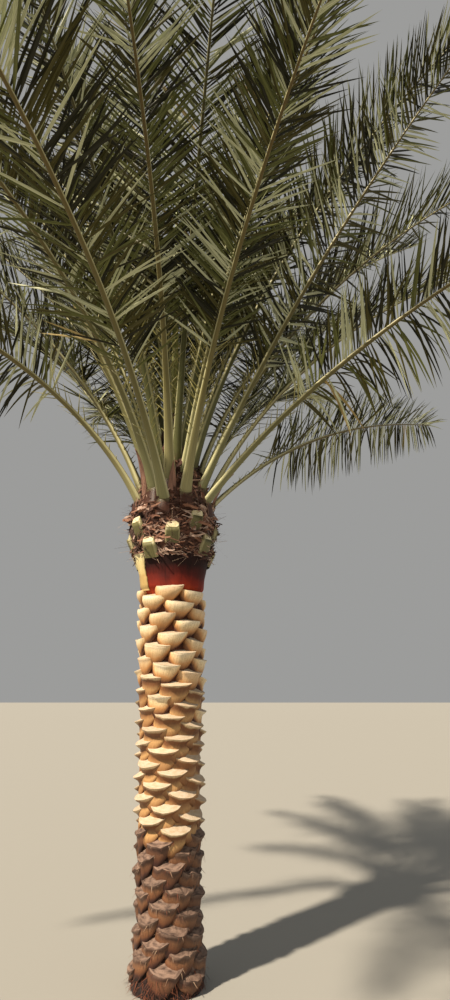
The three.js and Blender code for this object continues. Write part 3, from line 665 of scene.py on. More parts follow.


# Fresh sheath: smooth skin laid bare by the cutting, mahogany red, darker above as painted shadow of the
# fibre head over it, with a satin face
def fresh_sheath():
    finish, tree, shader = new_finish("fresh_sheath_mahogany_painted_shadow", 0.65, 1.45, Specular_IOR_Level=0.25)
    here = add(tree, "ShaderNodeTexCoord")
    place = add(tree, "ShaderNodeSeparateXYZ", {"Vector": here.outputs["Object"]})
    # the change from red to the dark painted shadow at the top wanders over about 110 mm
    wander = add(tree, "ShaderNodeTexNoise", {
        "Vector": here.outputs["Object"], "Scale": per_mm(110)[0], "Detail": 3.0})
    level = add(tree, "ShaderNodeMapRange", {
        "Value": place.outputs["Z"], "From Min": BAND[0] * MM, "From Max": BAND[1] * MM})
    height_and_painted_shadow = add(tree, "ShaderNodeMath", {
        0: wander.outputs["Fac"], 1: 0.5, 2: level.outputs["Result"]}, operation="MULTIPLY_ADD")
    # red at the foot, darkening to near black towards the top as painted shadow of the fibre above
    tone = add(tree, "ShaderNodeValToRGB", {"Fac": height_and_painted_shadow.outputs[0]},
               stops=[(0.3, "#b5431d"), (0.5, "#8c2815"), (0.74, "#541812"), (1.0, "#240b08")])
    # faint streaks run down it, about 5 mm wide
    grain = add(tree, "ShaderNodeUVMap", uv_map="grain").outputs["UV"]
    drawn = add(tree, "ShaderNodeMapping", {"Vector": grain, "Scale": per_mm(5, 180)})
    streak = add(tree, "ShaderNodeTexNoise", {
        "Vector": drawn.outputs["Vector"], "Scale": 1.0, "Detail": 3.0})
    fine = add(tree, "ShaderNodeMapRange", {
        "Value": streak.outputs["Fac"], "From Min": 0.3, "From Max": 0.7, "To Min": 0.6, "To Max": 1.15})
    final = add(tree, "ShaderNodeMixRGB", {
        "Fac": 1.0, "Color1": tone.outputs["Color"], "Color2": fine.outputs["Result"],
    }, blend_type="MULTIPLY")
    bump = add(tree, "ShaderNodeBump", {"Height": streak.outputs["Fac"], "Distance": 0.7 * MM})
    set_inputs(tree, shader, {"Base Color": final.outputs["Color"], "Normal": bump.outputs["Normal"]})
    return finish


# Papery sheath: dried thin, pink-brown, dull, with fine lengthwise lines
def papery_sheath(name, pale, deep):
    finish, tree, shader = new_finish(name, 0.7, 1.45)
    grain = add(tree, "ShaderNodeUVMap", uv_map="grain").outputs["UV"]
    # the lines lie about 1 mm apart, drawn at 2.5 mm so that they show
    drawn = add(tree, "ShaderNodeMapping", {"Vector": grain, "Scale": per_mm(2.5, 90)})
    line = add(tree, "ShaderNodeTexNoise", {
        "Vector": drawn.outputs["Vector"], "Scale": 1.0, "Detail": 3.0})
    tone = add(tree, "ShaderNodeValToRGB", {"Fac": line.outputs["Fac"]}, stops=[(0.3, deep), (0.7, pale)])
    bump = add(tree, "ShaderNodeBump", {"Height": line.outputs["Fac"], "Distance": 0.6 * MM})
    set_inputs(tree, shader, {"Base Color": tone.outputs["Color"], "Normal": bump.outputs["Normal"]})
    return finish


# Studio floor: matt painted board, pale and even, with one cloud so broad that it hardly shows
def pale_floor():
    finish, tree, shader = new_finish("studio_floor_paint", 0.9, 1.45)
    cloud = add(tree, "ShaderNodeTexNoise", {"Scale": 0.6, "Detail": 2.0})
    tone = add(tree, "ShaderNodeValToRGB", {"Fac": cloud.outputs["Fac"]},
               stops=[(0.3, "#93918b"), (0.7, "#989690")])
    set_inputs(tree, shader, {"Base Color": tone.outputs["Color"]})
    return finish


# Fronds

def leaf_azimuth(rank):
    return FIRST_AZIMUTH + GOLDEN_ANGLE * rank


def frond_poses():
    """How each frond stands: by the spiral and its age, but as traced where the photo shows its rib."""
    draw = seeded(SEEDS["fronds"])
    poses = []
    for rank in range(FROND_COUNT):
        age = rank / FROND_COUNT
        pose = {
            "rank": rank,
            "age": age,
            "azimuth": leaf_azimuth(rank) + (draw() - 0.5) * FROND_SCATTER["azimuth"],
            "foot_rise": lerp(*FOOT_RISE, age) + (draw() - 0.5) * FROND_SCATTER["foot_rise"],
            "tip_rise": lerp(*TIP_RISE, age) + (draw() - 0.5) * FROND_SCATTER["tip_rise"],
            "swing": (draw() - 0.5) * FROND_SCATTER["swing"],
            "twist": 0,
            "droop": lerp(*LEAFLET_DROOP, age ** DROOP_POWER),
            "length": lerp(SHORTEST, LONGEST, min(1, age / FULL_GROWN)) * (0.97 + 0.06 * draw()),
        }
        if rank in KNOWN_FRONDS:
            pose.update(zip(KNOWN_KEYS, KNOWN_FRONDS[rank]))
            pose["length"] = LONGEST
        poses.append(pose)
    return poses


def foot_on_cone(age):
    """Radius and height at which a leaf of this age leaves the cone of the head."""
    inner, outer = CONE_TIP[1], CONE_FOOT[1]
    radius = math.sqrt(inner ** 2 + age * (outer ** 2 - inner ** 2))
    return radius, lerp(CONE_TIP[0], CONE_FOOT[0], (radius - inner) / (outer - inner))


def rib_frames(pose, steps=48):
    """Middle line of the rib: points with the directions ahead, sideways and upwards."""
    share = np.arange(steps + 1) / steps
    rise = lerp(pose["foot_rise"], pose["tip_rise"], share ** BEND_POWER)
    ahead, flat, up = aimed(pose["azimuth"] + pose["swing"] * share, rise)
    twist = np.radians(pose["twist"] * np.minimum(1, share / TWISTED_BY))[:, None]
    side = flat * np.cos(twist) + up * np.sin(twist)
    over = up * np.cos(twist) - flat * np.sin(twist)
    start = on_trunk(pose["azimuth"], *foot_on_cone(pose["age"]))
    points = path_of(start, ahead, pose["length"])
    return {"share": share, "point": points, "ahead": ahead, "side": side, "over": over}


def frame_at(frames, share):
    """The rib's point, and its directions ahead, sideways and upwards, at this share of its length."""
    return [
        np.stack([np.interp(share, frames["share"], frames[key][:, i]) for i in range(3)], -1)
        for key in ("point", "ahead", "side", "over")
    ]


def slimming(pose):
    """A young leaf is slimmer than a grown one."""
    return min(1, 0.5 + 1.4 * pose["age"])


def rib_narrowing(pose, share):
    """A young rib is slim at its foot, but as wide as any further out."""
    return lerp(slimming(pose), 1, np.minimum(1, share * 3))


def rooted_by(pose):
    """How far a stalk runs back into the cone of the head, so that its underside is rooted too."""
    slope = math.degrees(math.atan2(CONE_TIP[0] - CONE_FOOT[0], CONE_FOOT[1] - CONE_TIP[1]))
    underside = RIB_DEPTH[0][1] * slimming(pose) * 0.65
    return underside / math.tan(math.radians(180 - slope - pose["foot_rise"])) + 18


def rib_mesh(pose, frames, heap):
    """The stalk and rib: a broad flat-topped foot that turns to a slim ridge."""
    share = np.concatenate([[0.0], np.linspace(0, 1, 44) ** 1.25])
    narrow = rib_narrowing(pose, share)
    width, depth = along(RIB_WIDTH, share) * narrow, along(RIB_DEPTH, share) * narrow
    point, ahead, side, over = frame_at(frames, share)
    point[0] -= ahead[0] * rooted_by(pose)
    rows, sides = len(share), 12
    turn = full_turn(sides)
    across = 0.5 * np.cos(turn)
    # the upper face is nearly flat with a low ridge, the lower one is rounded to a keel
    lift = np.abs(np.sin(turn))
    face, keel = RIB_FACE[0] * lift ** RIB_FACE[1], RIB_KEEL[0] * lift ** RIB_KEEL[1]
    upward = np.where(np.sin(turn) > 0, face, keel)
    rings = rings_along(point, side, over, across * width[:, None], upward * depth[:, None])
    grain = grain_of(across * 2 * RIB_EDGE, (share * pose["length"])[:, None])
    points = np.append(rings.reshape(-1, 3), [point[-1] + ahead[-1] * RIB_TIP], axis=0)
    grain = np.append(grain.reshape(-1, 2), [[0, pose["length"]]], axis=0)
    last, tip = (rows - 1) * sides, rows * sides
    faces = grid_faces(rows, sides, closed=True)
    faces += [(last + i, last + (i + 1) % sides, tip) for i in range(sides)]
    heap.add(points, faces, grain, 0)


def sheath_foot_mesh(pose, heap):
    """Where an outer leaf's stalk clasps the head: a cupped band that runs down under the fibre."""
    _, height = foot_on_cone(pose["age"])
    steps, sides = 10, 12
    share = np.linspace(0, 1, steps + 1)[:, None]
    run = (SHEATH_RUN + SHEATH_RISE) * share
    z = height + SHEATH_RISE - run
    turn = full_turn(sides)
    width = lerp(RIB_WIDTH[0][1] * 0.86, SHEATH_WIDTH, share)
    half = np.degrees(width / 2 / head_radius(z)) * np.cos(turn)
    lift = np.where(np.sin(turn) > 0, np.sin(turn), np.sin(turn) * 0.8)
    out = head_radius(z) + 5 + along(SHEATH_THICK, share) * lift
    faces = grid_faces(steps + 1, sides, closed=True)
    faces += [tuple(range(sides)), tuple(steps * sides + i for i in reversed(range(sides)))]
    # on the grain map it runs down faster than in life, so the skin is brown before the fibre covers it
    grain = grain_of(np.cos(turn) * RIB_EDGE * 0.7, SHEATH_RISE - 1.6 * run)
    heap.add(on_trunk(pose["azimuth"] + half, out, z), faces, grain, 0)


def spine_mesh(root, way, length, ahead, over, turn_over, heap):
    """One spine: a lozenge at its root, about half as thick in the middle, drawn out to a point."""
    broad, high = ahead * SPINE_THICK * 1.6, over * SPINE_THICK
    foot = [root + broad, root + high, root - broad, root - high]
    middle = [corner + way * length * 0.5 - (corner - root) * 0.45 for corner in foot]
    faces = grid_faces(2, 4, closed=True) + [(4 + i, 4 + (i + 1) % 4, 8) for i in range(4)]
    grain = np.stack([np.tile([0, 5, 10, 15], 2), np.repeat([0, length / 2], 4)], -1)
    grain = np.append(grain, [[8, length]], axis=0)
    points = np.array(foot + middle + [root + way * length])
    heap.add(points, turned_over(faces) if turn_over else faces, grain, 1)


def spines_mesh(pose, frames, heap):
    """Leaflets near the foot are hardened to spines in two rows."""
    rng = np.random.default_rng(SEEDS["spines"] + pose["rank"])
    for hand in (-1, 1):
        for share in np.linspace(FIRST_SPINE, FIRST_LEAFLET, SPINES) + rng.uniform(-0.006, 0.006, SPINES):
            point, ahead, side, over = frame_at(frames, share)
            half = along(RIB_WIDTH, share) / 2 * rib_narrowing(pose, share)
            grown = (share - FIRST_SPINE) / (FIRST_LEAFLET - FIRST_SPINE)
            length = lerp(*SPINE_LENGTH, grown) * rng.uniform(0.7, 1.2)
            lean, lift = math.radians(rng.uniform(*SPINE_LEAN)), math.radians(rng.uniform(*SPINE_LIFT))
            out = side * hand * math.cos(lift) + over * math.sin(lift)
            way = unit(out * math.cos(lean) + ahead * math.sin(lean))
            root = point + side * hand * half * 0.85
            spine_mesh(root, way, length, ahead, over, hand > 0, heap)


def leaflet_length(share):
    place = (share - FIRST_LEAFLET) / (1 - FIRST_LEAFLET)
    swell = np.sin(math.pi * np.minimum(1, 0.22 + 0.72 * place))
    return LEAFLET_SHORTEST + (LEAFLET_LONGEST - LEAFLET_SHORTEST) * swell


def leaflet_rank(pose, frames, hand, rng):
    """The leaflets on one side of a rib: where they are rooted, their lengths, ways and droops."""
    count = LEAFLETS_A_SIDE
    place = (np.arange(count) + 0.5) / count
    cluster = np.floor(np.arange(count) / LEAFLETS_A_CLUSTER + rng.uniform(0, 1)).astype(int)
    place += rng.uniform(-0.25, 0.25, count) / count
    share = FIRST_LEAFLET + (1 - FIRST_LEAFLET) * np.clip(place, 0, 1)
    fan = rng.choice(LEAFLET_FAN, count) * lerp(1.0, 0.5, share) + rng.normal(0, LEAFLET_SCATTER, count)
    length = leaflet_length(share) * rng.uniform(0.9, 1.06, count) * lerp(slimming(pose), 1, share)
    lean = np.radians(along(LEAFLET_LEAN, share) + rng.normal(0, LEAFLET_SCATTER, count))[:, None]
    lift = np.radians(LEAFLET_RISE + fan)[:, None]
    point, ahead, side, over = frame_at(frames, share)
    half = (along(RIB_WIDTH, share) / 2 * rib_narrowing(pose, share))[:, None]
    out = side * (hand * np.cos(lift)) + over * np.sin(lift)
    way = unit(out * np.cos(lean) + ahead * np.sin(lean))
    root = point + side * (hand * half * 0.7) + over * (half * 0.15)
    # an upright leaflet bears its own weight, a level one gives way
    droop = pose["droop"] * np.interp(share, HANG, (0, 1))
    droop = droop * (1 - way[:, 2]) ** 2 * rng.uniform(0.6, 1.4, count) + rng.uniform(-0.04, 0.08, count)
    return {"hand": hand, "cluster": cluster, "share": share, "length": length, "ahead": ahead,
            "way": way, "root": root, "droop": droop}


def blade_rows(leaflets, rng):
    """Rows of three points along each blade, its middle and its raised edges, and their grain map."""
    way, ahead, length = (leaflets[key] for key in ("way", "ahead", "length"))
    count, steps = len(way), LEAFLET_SEGMENTS
    share = np.arange(steps + 1) / steps
    bend = lerp(*LEAFLET_BEND, share) * leaflets["droop"][:, None]
    heading = unit(way[:, None] - UP * bend[..., None])
    paces = heading[:, :-1] * (length / steps)[:, None, None]
    run = np.concatenate([np.zeros((count, 1, 3)), np.cumsum(paces, axis=1)], 1)
    line = leaflets["root"][:, None] + run
    # the blade's plane holds the rib's direction, turned a little by chance
    flat = unit(ahead - np.sum(ahead * way, -1, keepdims=True) * way)
    face = np.cross(way, flat) * leaflets["hand"]
    twist = np.radians(rng.normal(0, LEAFLET_TWIST, count))[:, None]
    wide = (flat * np.cos(twist) + face * np.sin(twist))[:, None]
    wide = unit(wide - np.sum(wide * heading, -1, keepdims=True) * heading)
    upper = np.cross(wide, heading) * leaflets["hand"]
    # it is narrow at its root, widest before its middle and drawn out to a point
    swell = np.minimum(1, 0.55 + share / 0.4) * (1 - share ** 2.2) ** 0.8
    width = lerp(*LEAFLET_WIDTH, leaflets["share"]) * rng.uniform(0.8, 1.15, count)
    half = (width * (length / LEAFLET_LONGEST) ** 0.3)[:, None] / 2 * swell
    fold = np.radians(lerp(*LEAFLET_FOLD, share))
    edge = wide * (half * np.cos(fold))[..., None]
    raised = upper * (half * np.sin(fold))[..., None]
    rows = np.stack([line - edge + raised, line, line + edge + raised], 2)
    grain = grain_of(np.stack([-half, half * 0, half], 2), (length[:, None] * share)[..., None])
    return rows, grain


def blade_faces(hand):
    """Two faces from each row of three points to the next, and two more to the tip."""
    tip = 3 * LEAFLET_SEGMENTS
    faces = grid_faces(LEAFLET_SEGMENTS, 3) + [(tip - 3, tip - 2, tip), (tip - 2, tip - 1, tip)]
    return turned_over(faces) if hand < 0 else faces


def leaflets_mesh(pose, frames, heap):
    """Both ranks of leaflets: folded blades in clusters that fan a little, bending to their tips."""
    rng = np.random.default_rng(SEEDS["leaflets"] + pose["rank"])
    # of its last row a blade has only the middle point
    kept = list(range(3 * LEAFLET_SEGMENTS)) + [3 * LEAFLET_SEGMENTS + 1]
    for hand in (-1, 1):
        leaflets = leaflet_rank(pose, frames, hand, rng)
        rows, grain = blade_rows(leaflets, rng)
        faces = blade_faces(hand)
        tones = rng.choice(len(SPRAY_WEIGHTS), leaflets["cluster"].max() + 1, p=SPRAY_WEIGHTS)
        for blade, cluster in enumerate(leaflets["cluster"]):
            tone = tones[cluster]
            if rng.uniform() < OWN_TONE:
                tone = rng.choice(len(SPRAY_WEIGHTS), p=SPRAY_WEIGHTS)
            points, uv = rows[blade].reshape(-1, 3)[kept], grain[blade].reshape(-1, 2)[kept]
            heap.add(points, faces, uv, int(tone))


def leaflet_finishes():
    # the pale tone is partly painted highlight where sunlit leaflets shine, the deep tone partly painted
    # shade inside the crown
    return [
        waxy_leaflet("waxy_leaflet_grey_green", "#696d3b", "#383b18"),
        waxy_leaflet("waxy_leaflet_olive", "#4f4b1e", "#2a280a"),
        waxy_leaflet("waxy_leaflet_deep_painted_shade", "#24240c", "#121204"),
        waxy_leaflet("waxy_leaflet_pale_painted_highlight", "#ced2b0", "#898d69"),
        dry_leaflet(),
    ]


def make_fronds():
    blade_finishes = leaflet_finishes()
    grown_ribs = [
        rib_skin("leaf_rib_skin_olive", "#9a9468", "#6f683c", "#5c4c22"),
        rib_skin("leaf_rib_skin_green", "#8c8b62", "#68643b", "#5f5126"),
    ]
    # the inner stalks, overhung by the outer fronds, get a deeper green as painted shade
    inner_rib_painted_shade = rib_skin("leaf_rib_skin_inner_painted_shade", "#6b6c44", "#52542e", "#524c28")
    spine = spine_horn()
    for pose in frond_poses():
        node = f"frond_{pose['rank'] + 1:02d}"
        frames = rib_frames(pose)
        rib, blades = Heap(), Heap()
        rib_mesh(pose, frames, rib)
        if pose["age"] > OUTER_AGE:
            sheath_foot_mesh(pose, rib)
        spines_mesh(pose, frames, rib)
        skin = grown_ribs[pose["rank"] % 2] if pose["age"] > INNER_SHADE_AGE else inner_rib_painted_shade
        rib.make(f"{node}_rib", [skin, spine], "frond", [node])
        leaflets_mesh(pose, frames, blades)
        blades.make(f"{node}_leaflets", blade_finishes, "frond", [node])


# Trunk

def make_stem():
    """The stem in the creases between the cut bases, matted with brown fibre that is darkened to near
    black as painted shade in the creases.
    """
    around, levels = 128, 300
    heights = np.linspace(0, BAND[0] + 40, levels)
    azimuth, z = round_trunk(around, heights)
    bare = on_trunk(azimuth, crease_radius(z), z)
    relief = 3.5 * ripple(bare * [1, 1, 0.35], 26, seed=3) + 2.5 * ripple(bare, 70, seed=4)
    points = on_trunk(azimuth, crease_radius(z) - 4 + relief, z)
    # the foot is weathered and the top is fresh
    fresh = np.repeat(heights[:-1] > FRESH_ABOVE, around).astype(int).tolist() + [0, 1]
    heap = Heap()
    heap.add(points, tube_faces(levels, around), grain_of(np.radians(azimuth) * 160, z), fresh)
    # both fibres are nearly black, partly their own dark brown and partly painted shade in the creases
    # between the bases
    weathered = palm_fibre("crease_fibre_weathered_painted_shade", "#0c0403", "#2f140c")
    rusty = palm_fibre("crease_fibre_rusty_painted_shade", "#220d06", "#6a3721")
    heap.make("trunk_stem", [weathered, rusty], "trunk", ["trunk"])


def boot_place(rank):
    """Azimuth and height of a cut base on its spiral, counted from the top."""
    return BOOT_AZIMUTH + GOLDEN_ANGLE * rank, BOOT_TOP + LIP_DROP - BOOT_STEP * rank


def cut_level(boot, out):
    """Height of the cut plane this far out from the crease."""
    return boot["height"] - boot["drop"] * out / boot["stand"] + boot["tilt"] * BOOT_INSIDE


def boot_shape(rank, stand, wear, rng):
    """One cut base: its place and turn, and the reach and height of its lip, all a little by chance."""
    azimuth, height = boot_place(rank)
    azimuth += rng.uniform(-1.5, 1.5) - BOOT_OFFSET
    drop = along(CUT_DROP, height) * rng.uniform(0.8, 1.2)
    shelf = along(SHELF, height)
    half_turn = lerp(*BOOT_HALF_TURN, shelf) * rng.uniform(0.93, 1.06)
    bowl_lip, shelf_lip = (1 - np.abs(BOOT_INSIDE) ** 3) ** 0.55, (1 - BOOT_INSIDE ** 2) ** 0.75
    lip_share = lerp(bowl_lip, shelf_lip, shelf)
    ragged = rng.normal(0, wear["ragged"], len(BOOT_ACROSS))
    tilt = rng.uniform(*wear["tilt"])
    reach = stand * lip_share * (1 + wear["uneven"] * rng.normal(size=len(BOOT_ACROSS)))
    reach = reach * (1 + wear["lopsided"] * BOOT_INSIDE)
    arc = BOOT_ACROSS * BOOT_GRAIN_HALF + GRAIN_STEP * (rank - FIRST_BOOT) + GRAIN_STEP / 2
    boot = {
        "azimuth": azimuth, "height": height, "drop": drop, "stand": stand, "tilt": tilt, "shelf": shelf,
        "half_turn": half_turn, "lip_share": lip_share, "ragged": ragged, "reach": reach, "arc": arc,
    }
    boot["lip"] = cut_level(boot, reach) + ragged
    return boot


def cut_face_mesh(boot, wear, rng, heap):
    """The slanting cut above, a little dished and rough, from the stem out to the lip."""
    out = lerp(boot["reach"], -SUNK_BY, CUT_INWARD)
    dish = -CUT_DISH * np.sin(math.pi * CUT_INWARD) + rng.normal(0, wear["rough"], out.shape)
    z = cut_level(boot, out) + dish + boot["ragged"] * (1 - CUT_INWARD)
    radius = np.where(BOOT_SUNK, crease_radius(z) - SUNK_BY, crease_radius(z) + out)
    points = on_trunk(boot["azimuth"] + boot["half_turn"] * BOOT_ACROSS, radius, z)
    grain = grain_of(boot["arc"], CUT_GRAIN * CUT_INWARD)
    heap.add(points, turned_over(grid_faces(*out.shape)), grain, 0)


def boot_skin_mesh(rank, boot, wear, heap):
    """The rounded cup under the cut, or the shelf with its hump, that narrows to its foot."""
    shelf, lip, down = boot["shelf"], boot["lip"], SKIN_DOWN
    length = min(lerp(*BOOT_LENGTH, shelf), float(lip.min()) - 4)
    taper = (1 - down ** lerp(2.6, 5.0, shelf)) ** 0.55
    z = lip - length * (1 - 0.16 * BOOT_INSIDE ** 2) * down
    body = lerp(np.cos(down * math.pi / 2) ** 0.9, along(SHELF_STAND, down), shelf)
    place = np.stack(np.broadcast_arrays(BOOT_ACROSS * BOOT_GRAIN_HALF, down * 130, rank * 37.0), -1)
    lumps = ripple(place, 55, seed=8) * wear["lumps"]
    belly = np.sin(np.clip(down / 0.5, 0, 1) * math.pi) * BOOT_BELLY * boot["lip_share"] * (1 - shelf)
    radius = crease_radius(z) - 6 + (boot["reach"] + 6) * body + (lumps + belly) * body
    radius = np.where(BOOT_SUNK, crease_radius(z) - SUNK_BY, radius)
    turned = boot["azimuth"] + BOOT_DRIFT * down + boot["half_turn"] * BOOT_ACROSS * taper
    grain = grain_of(boot["arc"], length * down)
    heap.add(on_trunk(turned, radius, z), turned_over(grid_faces(*z.shape)), grain, 1)


def lip_line(boot):
    """The points of a base's edge, without those at its two ends."""
    turned = boot["azimuth"] + boot["half_turn"] * BOOT_ACROSS
    return on_trunk(turned, crease_radius(boot["lip"]) + boot["reach"], boot["lip"])[2:-2]


def boot_heaps():
    """All the cut bases, sorted to full bowls, shelves and weathered ones, and the edges of the last."""
    draw = seeded(SEEDS["stands"])
    rng = np.random.default_rng(SEEDS["bases"])
    bowls, shelves, worn, lips = Heap(), Heap(), Heap(), []
    for rank in range(FIRST_BOOT, LAST_BOOT):
        _, height = boot_place(rank)
        is_fresh = height > FRESH_ABOVE
        wear = FRESH_BASE if is_fresh else WORN_BASE
        stand = wear["stand"] * (0.86 + 0.28 * draw())
        if not LOWEST_BOOT < height < HIGHEST_BOOT:
            continue
        fresh = bowls if height > rng.uniform(*SHELVES_BELOW) else shelves
        heap = fresh if is_fresh else worn
        boot = boot_shape(rank, stand, wear, rng)
        cut_face_mesh(boot, wear, rng, heap)
        boot_skin_mesh(rank, boot, wear, heap)
        if not is_fresh:
            lips.append(lip_line(boot))
    return bowls, shelves, worn, lips


def make_boots():
    bowls, shelves, worn, lips = boot_heaps()
    cut_fresh = cut_palm_wood("cut_palm_wood_fresh", "#c9b8a2", "#bba384", "#a0703a")
    cut_worn = cut_palm_wood("cut_palm_wood_weathered", "#856c5d", "#3d2b23", "#2c1d17")
    # cream at the edge, tan over the bowl, brown to near black on its underside and at its sides: partly
    # its own tan, partly painted shade under the bowl and in the gaps
    skin_bowl = leaf_base_skin("leaf_base_skin_bowl_painted_shade", [
        (0.0, "#f3e6c8"), (0.24, "#ecd0a0"), (0.46, "#c08a54"), (0.64, "#44190e"),
    ], "#8a5a30", 0.34)
    # cream at the edge, painted shade under the overhang, golden over the hump, then painted shade
    # darkening to near black at its foot in the crease
    skin_shelf = leaf_base_skin("leaf_base_skin_shelf_painted_shade", [
        (0.02, "#d4be98"), (0.1, "#764a2b"), (0.24, "#7a4f2e"),
        (0.46, "#c59b66"), (0.7, "#93643c"), (0.95, "#2a0f09"),
    ], "#6d3f1f")
    # grey-brown at the edge, painted shade under the overhang, rusty over the hump, then painted shade
    # darkening to near black at its foot in the crease
    skin_worn = leaf_base_skin("leaf_base_skin_weathered_painted_shade", [
        (0.0, "#7b6457"), (0.12, "#5d4133"), (0.28, "#7e5639"),
        (0.44, "#6e4429"), (0.58, "#3c1e16"), (0.8, "#0e0504"),
    ], "#2c150d")
    bowls.make("boots_bowl", [cut_fresh, skin_bowl], "trunk", ["trunk"])
    shelves.make("boots_shelf", [cut_fresh, skin_shelf], "trunk", ["trunk"])
    worn.make("boots_worn", [cut_worn, skin_worn], "trunk", ["trunk"])
    make_frayed_lips(lips)


def ribbon(root, ahead, across, length, width, curl, heap, finish=0, steps=4, end=0.25, sway=0):
    """A thin strip that bends away over its length and sways from side to side, ragged towards its end."""
    share = np.linspace(0, 1, steps + 1)
    outward = np.cross(ahead, across) * (curl * share)[:, None]
    sideways = across * (sway * np.sin(5 * share + length))[:, None]
    line = path_of(root, unit(ahead + outward + sideways), length)
    half = width / 2 * lerp(1, end, share)
    edge = across * half[:, None]
    rows = np.stack([line - edge, line + edge], 1)
    grain = grain_of(np.stack([-half, half], 1), (share * length)[:, None])
    heap.add(rows, grid_faces(steps + 1, 2), grain, finish)


def lip_thread(lip, rng, heap):
    """A thread that hangs from somewhere on a weathered edge."""
    place = rng.uniform(0, len(lip) - 1.01)
    before = int(place)
    root = lerp(lip[before], lip[before + 1], place - before)
    outward = level_outward(root)
    across = unit(np.cross(outward, UP) + rng.normal(0, 0.2, 3))
    ahead = -UP * rng.uniform(0.3, 1) + outward * rng.uniform(0.1, 0.7) + across * rng.normal(0, 0.4)
    length, width = rng.uniform(*LIP_THREADS["length"]), rng.uniform(*LIP_THREADS["width"])
    curl = rng.normal(0, 0.5)
    finish = int(rng.uniform() < 0.4)
    ribbon(root - outward * 4, unit(ahead), across, length, width, curl, heap, finish, steps=3)


def foot_thread(rng, heap):
    """A thread that hangs close over the foot of the trunk and ends above the ground."""
    azimuth, height = rng.uniform(0, 360), rng.uniform(*FOOT_THREADS["height"])
    root = on_trunk(azimuth, crease_radius(height) + rng.uniform(-4, 10), height)
    outward = level_outward(root)
    across = unit(np.cross(outward, UP) + rng.normal(0, 0.3, 3))
    ahead = -UP * rng.uniform(0.2, 1) + outward * rng.uniform(0.05, 0.5) + across * rng.normal(0, 0.5)
    ahead = unit(ahead)
    length = min(rng.uniform(*FOOT_THREADS["length"]), height / max(0.15, -ahead[2]) * 0.9)
    ribbon(root, ahead, across, length, rng.uniform(*FOOT_THREADS["width"]), 0.1, heap, steps=3)


def make_frayed_lips(lips):
    """Threads that hang from the edges of the weathered bases and stand round the foot."""
    rng = np.random.default_rng(SEEDS["frayed"])
    heap = Heap()
    for lip in lips:
        for _ in range(LIP_THREADS["count"]):
            lip_thread(lip, rng, heap)
    for _ in range(FOOT_THREADS["count"]):
        foot_thread(rng, heap)
    brown = palm_fibre("frayed_fibre_brown", "#4a2216", "#8c5233")
    grey = palm_fibre("frayed_fibre_grey", "#7b6250", "#b59b80")
    heap.make("frayed_lips", [brown, grey], "trunk", ["trunk"], smooth=False)


# Head

def make_sheath_band():
    """The smooth band under the head, with soft folds that run up and down."""
    around, levels = 120, 36
    azimuth, z = round_trunk(around, np.linspace(*BAND, levels))
    bare = on_trunk(azimuth, head_radius(z), z)
    folds = 2.2 * ripple(bare * [1, 1, 0.15], 90, seed=12) + 0.8 * ripple(bare * [1, 1, 0.1], 22, seed=13)
    points = on_trunk(azimuth, head_radius(z) + folds - 1, z)
    heap = Heap()
    heap.add(points, grid_faces(levels, around, closed=True), grain_of(np.radians(azimuth) * 200, z))
    heap.make("sheath_band", [fresh_sheath()], "trunk", ["trunk"])


def make_head_core():
    """The lumpy mat of fibre that all the scraps and stalks stand in, calmer towards the heart."""
    around, levels = 110, 90
    azimuth, z = round_trunk(around, np.linspace(BAND[1] - 24, HEART[0], levels))
    bare = on_trunk(azimuth, head_radius(z), z)
    relief = 9 * ripple(bare, 52, seed=21) + 4 * ripple(bare, 17, seed=22)
    calm = np.clip((HEART[0] - z) / 400, 0.25, 1)
    points = on_trunk(azimuth, head_radius(z) - 3 + relief * calm, z)
    heap = Heap()
    heap.add(points, tube_faces(levels, around, foot=False), grain_of(np.radians(azimuth) * 220, z))
    heap.make("head_core", [palm_fibre("head_fibre_mat", "#1f0e09", "#6a4435")], "trunk", ["trunk"])


def rag_height(kind, rng):
    if kind == "girdle":
        return float(np.clip(rng.normal(*GIRDLE), *GIRDLE_REACH))
    return rng.uniform(*RAG_HEIGHTS[kind])


def rag(kind, rng, heap):
    """One scrap, wrapped round the head to the left or to the right."""
    _, lengths, widths, outs, steep, tones = RAGS[kind]
    azimuth, height = rng.uniform(0, 360), rag_height(kind, rng)
    root = on_trunk(azimuth, head_radius(height) + rng.uniform(-4, 8), height)
    outward = level_outward(root)
    round_it = np.cross(UP, outward) * rng.choice([-1, 1])
    ahead = unit(round_it + UP * rng.normal(0, steep) + outward * rng.uniform(*outs))
    across = unit(np.cross(ahead, outward) + outward * rng.normal(0, 0.6))
    length, width, curl = rng.uniform(*lengths), rng.uniform(*widths), rng.uniform(-0.3, 1.3)
    finish = int(rng.choice(len(tones), p=tones))
    end, sway = rng.uniform(0.1, 0.7), rng.uniform(0, 0.6)
    ribbon(root, ahead, across, length, width, curl, heap, finish, steps=5, end=end, sway=sway)


def make_head_rags():
    """Torn scraps of the fibre cloth, wrapped round the head and frayed over the sheath band."""
    rng = np.random.default_rng(SEEDS["rags"])
    heap = Heap()
    for kind, row in RAGS.items():
        for _ in range(row[0]):
            rag(kind, rng, heap)
    finishes = [
        palm_fibre("fibre_cloth_dark", "#25120c", "#5e3a2d"),
        palm_fibre("fibre_cloth_brown", "#5f3a2c", "#ab7f66"),
        palm_fibre("fibre_cloth_bleached", "#8d6f5f", "#d8bdac"),
    ]
    heap.make("head_rags", finishes, "trunk", ["trunk"], smooth=False)


